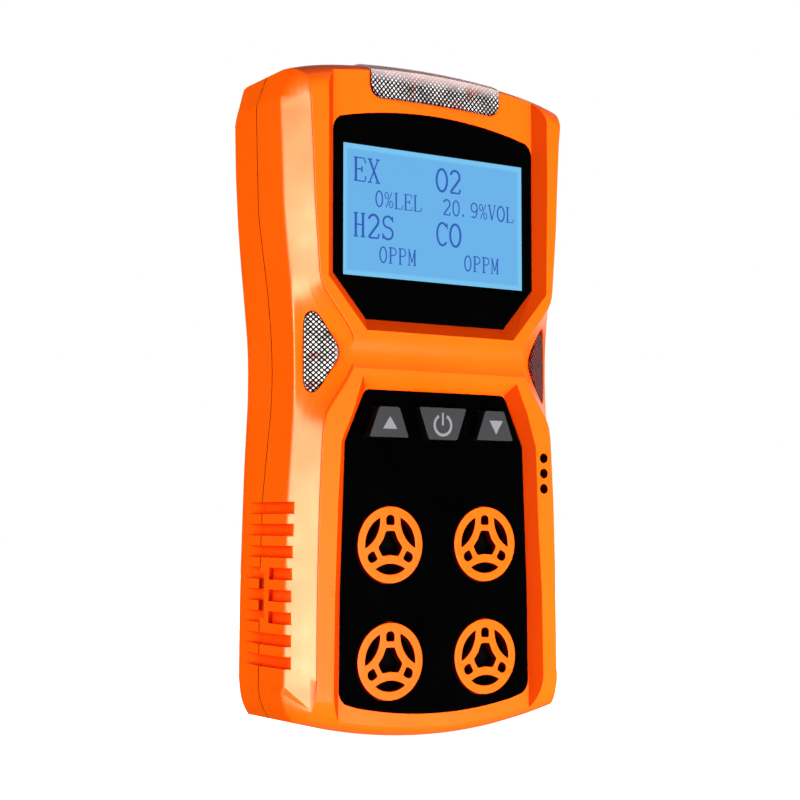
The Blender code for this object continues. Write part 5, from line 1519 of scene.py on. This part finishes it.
def floor():
    """A white ground that only the camera sees."""
    bm = bmesh.new()
    bmesh.ops.create_grid(bm, x_segments=2, y_segments=2, size=FLOOR_HALF)
    mesh = mesh_from(bm)
    made = new_object("floor", mesh)
    made.location.z = -FLOOR_DROP
    look = Look("floor", FLOOR_COLOR, 0.8, specular=0.0)
    seen = look.node("LightPath").outputs["Is Camera Ray"]
    glow = look.ramp(seen, 0.0, 1.0, FLOOR_LIGHT, FLOOR_SEEN)
    look.color(look.mixed(seen, FLOOR_UNSEEN_COLOR, FLOOR_COLOR))
    look.shader.inputs["Emission Color"].default_value = (1.0, 1.0, 1.0, 1.0)
    look.link(glow, look.shader.inputs["Emission Strength"])
    mesh.materials.append(look.material)
    made.visible_diffuse = False
    made.visible_glossy = False
    made.visible_shadow = False


def world():
    """White behind the object for the camera; a dim room, warm on the left, for the light on the object."""
    made = bpy.data.worlds.new("studio")
    bpy.context.scene.world = made
    made.use_nodes = True
    nodes, links = made.node_tree.nodes, made.node_tree.links
    nodes.clear()
    seen = nodes.new("ShaderNodeBackground")
    seen.inputs["Color"].default_value = (1.0, 1.0, 1.0, 1.0)
    room = nodes.new("ShaderNodeBackground")
    place = nodes.new("ShaderNodeSeparateXYZ")
    side = nodes.new("ShaderNodeMapRange")
    side.inputs["From Min"].default_value, side.inputs["From Max"].default_value = ROOM_EDGES
    tint = nodes.new("ShaderNodeMix")
    tint.data_type = "RGBA"
    for socket, color in zip(color_sockets(tint.inputs), (ROOM_LEFT, ROOM_RIGHT)):
        socket.default_value = (*color, 1.0)
    links.new(nodes.new("ShaderNodeTexCoord").outputs["Generated"], place.inputs["Vector"])
    links.new(place.outputs["X"], side.inputs["Value"])
    links.new(side.outputs["Result"], tint.inputs["Factor"])
    links.new(color_sockets(tint.outputs)[0], room.inputs["Color"])
    paths = nodes.new("ShaderNodeLightPath")
    choose = nodes.new("ShaderNodeMixShader")
    output = nodes.new("ShaderNodeOutputWorld")
    links.new(paths.outputs["Is Camera Ray"], choose.inputs["Fac"])
    links.new(room.outputs["Background"], choose.inputs[1])
    links.new(seen.outputs["Background"], choose.inputs[2])
    links.new(choose.outputs["Shader"], output.inputs["Surface"])


def studio():
    world()
    floor()
    for name, values in SOFTBOXES.items():
        softbox(name, *values)
    camera()
    bpy.context.scene.view_settings.view_transform = "Standard"


# --- Assembly -------------------------------------------------------------------------------------------


def build():
    orange = moulded("orange_plastic", (0.9, 0.095, 0.001), 0.3, deep_shade=(0.75, 0.02, 0.0))
    # A darker copy of the orange: painted shade on the channel walls.
    recess_shade = moulded("orange_recess_shade", (0.42, 0.031, 0.0003), 0.75, specular=0.04, deep_shade=(0.36, 0.016, 0.0))
    # Near-black orange: painted shadow in the parting gap and the sound holes.
    seam = moulded("orange_seam_shadow", (0.04, 0.004, 0.0), 0.8, specular=0.0)
    front_shell(orange, recess_shade, seam)
    rear_shell(orange, seam)
    window(gloss_black("window_gloss", 0.1, 0.02))
    display(lit_display())
    readings(display_ink())
    panel(gloss_black("panel_gloss", 0.25, 0.01))
    key_look = moulded("key_grey", (0.026, 0.026, 0.029), 0.5, specular=0.3)
    # Near-black copy of the key grey: painted shade on the sides of the keys.
    side_shade_look = moulded("key_side_shade", (0.003, 0.003, 0.003), 0.5, specular=0.1)
    for name in KEY_OUTLINES:
        key(name, key_look, side_shade_look)
    legends(moulded("legend_ink", (0.15, 0.15, 0.16), 0.5, specular=0.2))
    # The grilles' second material, a near-black red, is painted shade in their openings.
    grilles(orange, moulded("grille_wall_shade", (0.06, 0.002, 0.0), 0.6, specular=0.05))
    lenses()

    steel = metal("brushed_steel", (0.55, 0.55, 0.56), 0.3)
    clip_lever(steel)
    clip_coil(metal("spring_wire", (0.42, 0.42, 0.44), 0.28))
    dress(steel, "clip_base", "clip_pin", edge=0.2)
    dress(steel, *HOUSING_SCREWS, "clip_screw_lower", "clip_screw_upper", edge=0.08)
    dress(steel, *nodes_starting("main_board_screw", "sensor_board_screw"))
    dress(metal("nickel_plate", (0.7, 0.69, 0.66), 0.22), "charging_port", "vibration_motor")
    gasket_rubber = rubber("gasket_rubber", (0.012, 0.012, 0.013))
    dress(gasket_rubber, "housing_gasket")
    dress(gasket_rubber, "port_cover", edge=0.15)
    dress(circuit_board(), "main_board", "sensor_board", *nodes_starting("alarm_board"))
    dress(moulded("component_black", (0.012, 0.012, 0.013), 0.5), "board_connector", "buzzer",
          *nodes_starting("key_switch"))
    dress(moulded("light_guide", (0.8, 0.83, 0.85), 0.4), "lcd_backlight")
    dress(moulded("display_glass", (0.08, 0.22, 0.4), 0.15), "lcd_module")
    dress(moulded("sensor_cell", (0.62, 0.63, 0.6), 0.45), *nodes_starting("gas_sensor"))
    dress(membrane(), *nodes_starting("sensor_filter"))
    dress(battery_sleeve(), "battery")
    dress(foam(), "battery_pad")
    studio()


build()
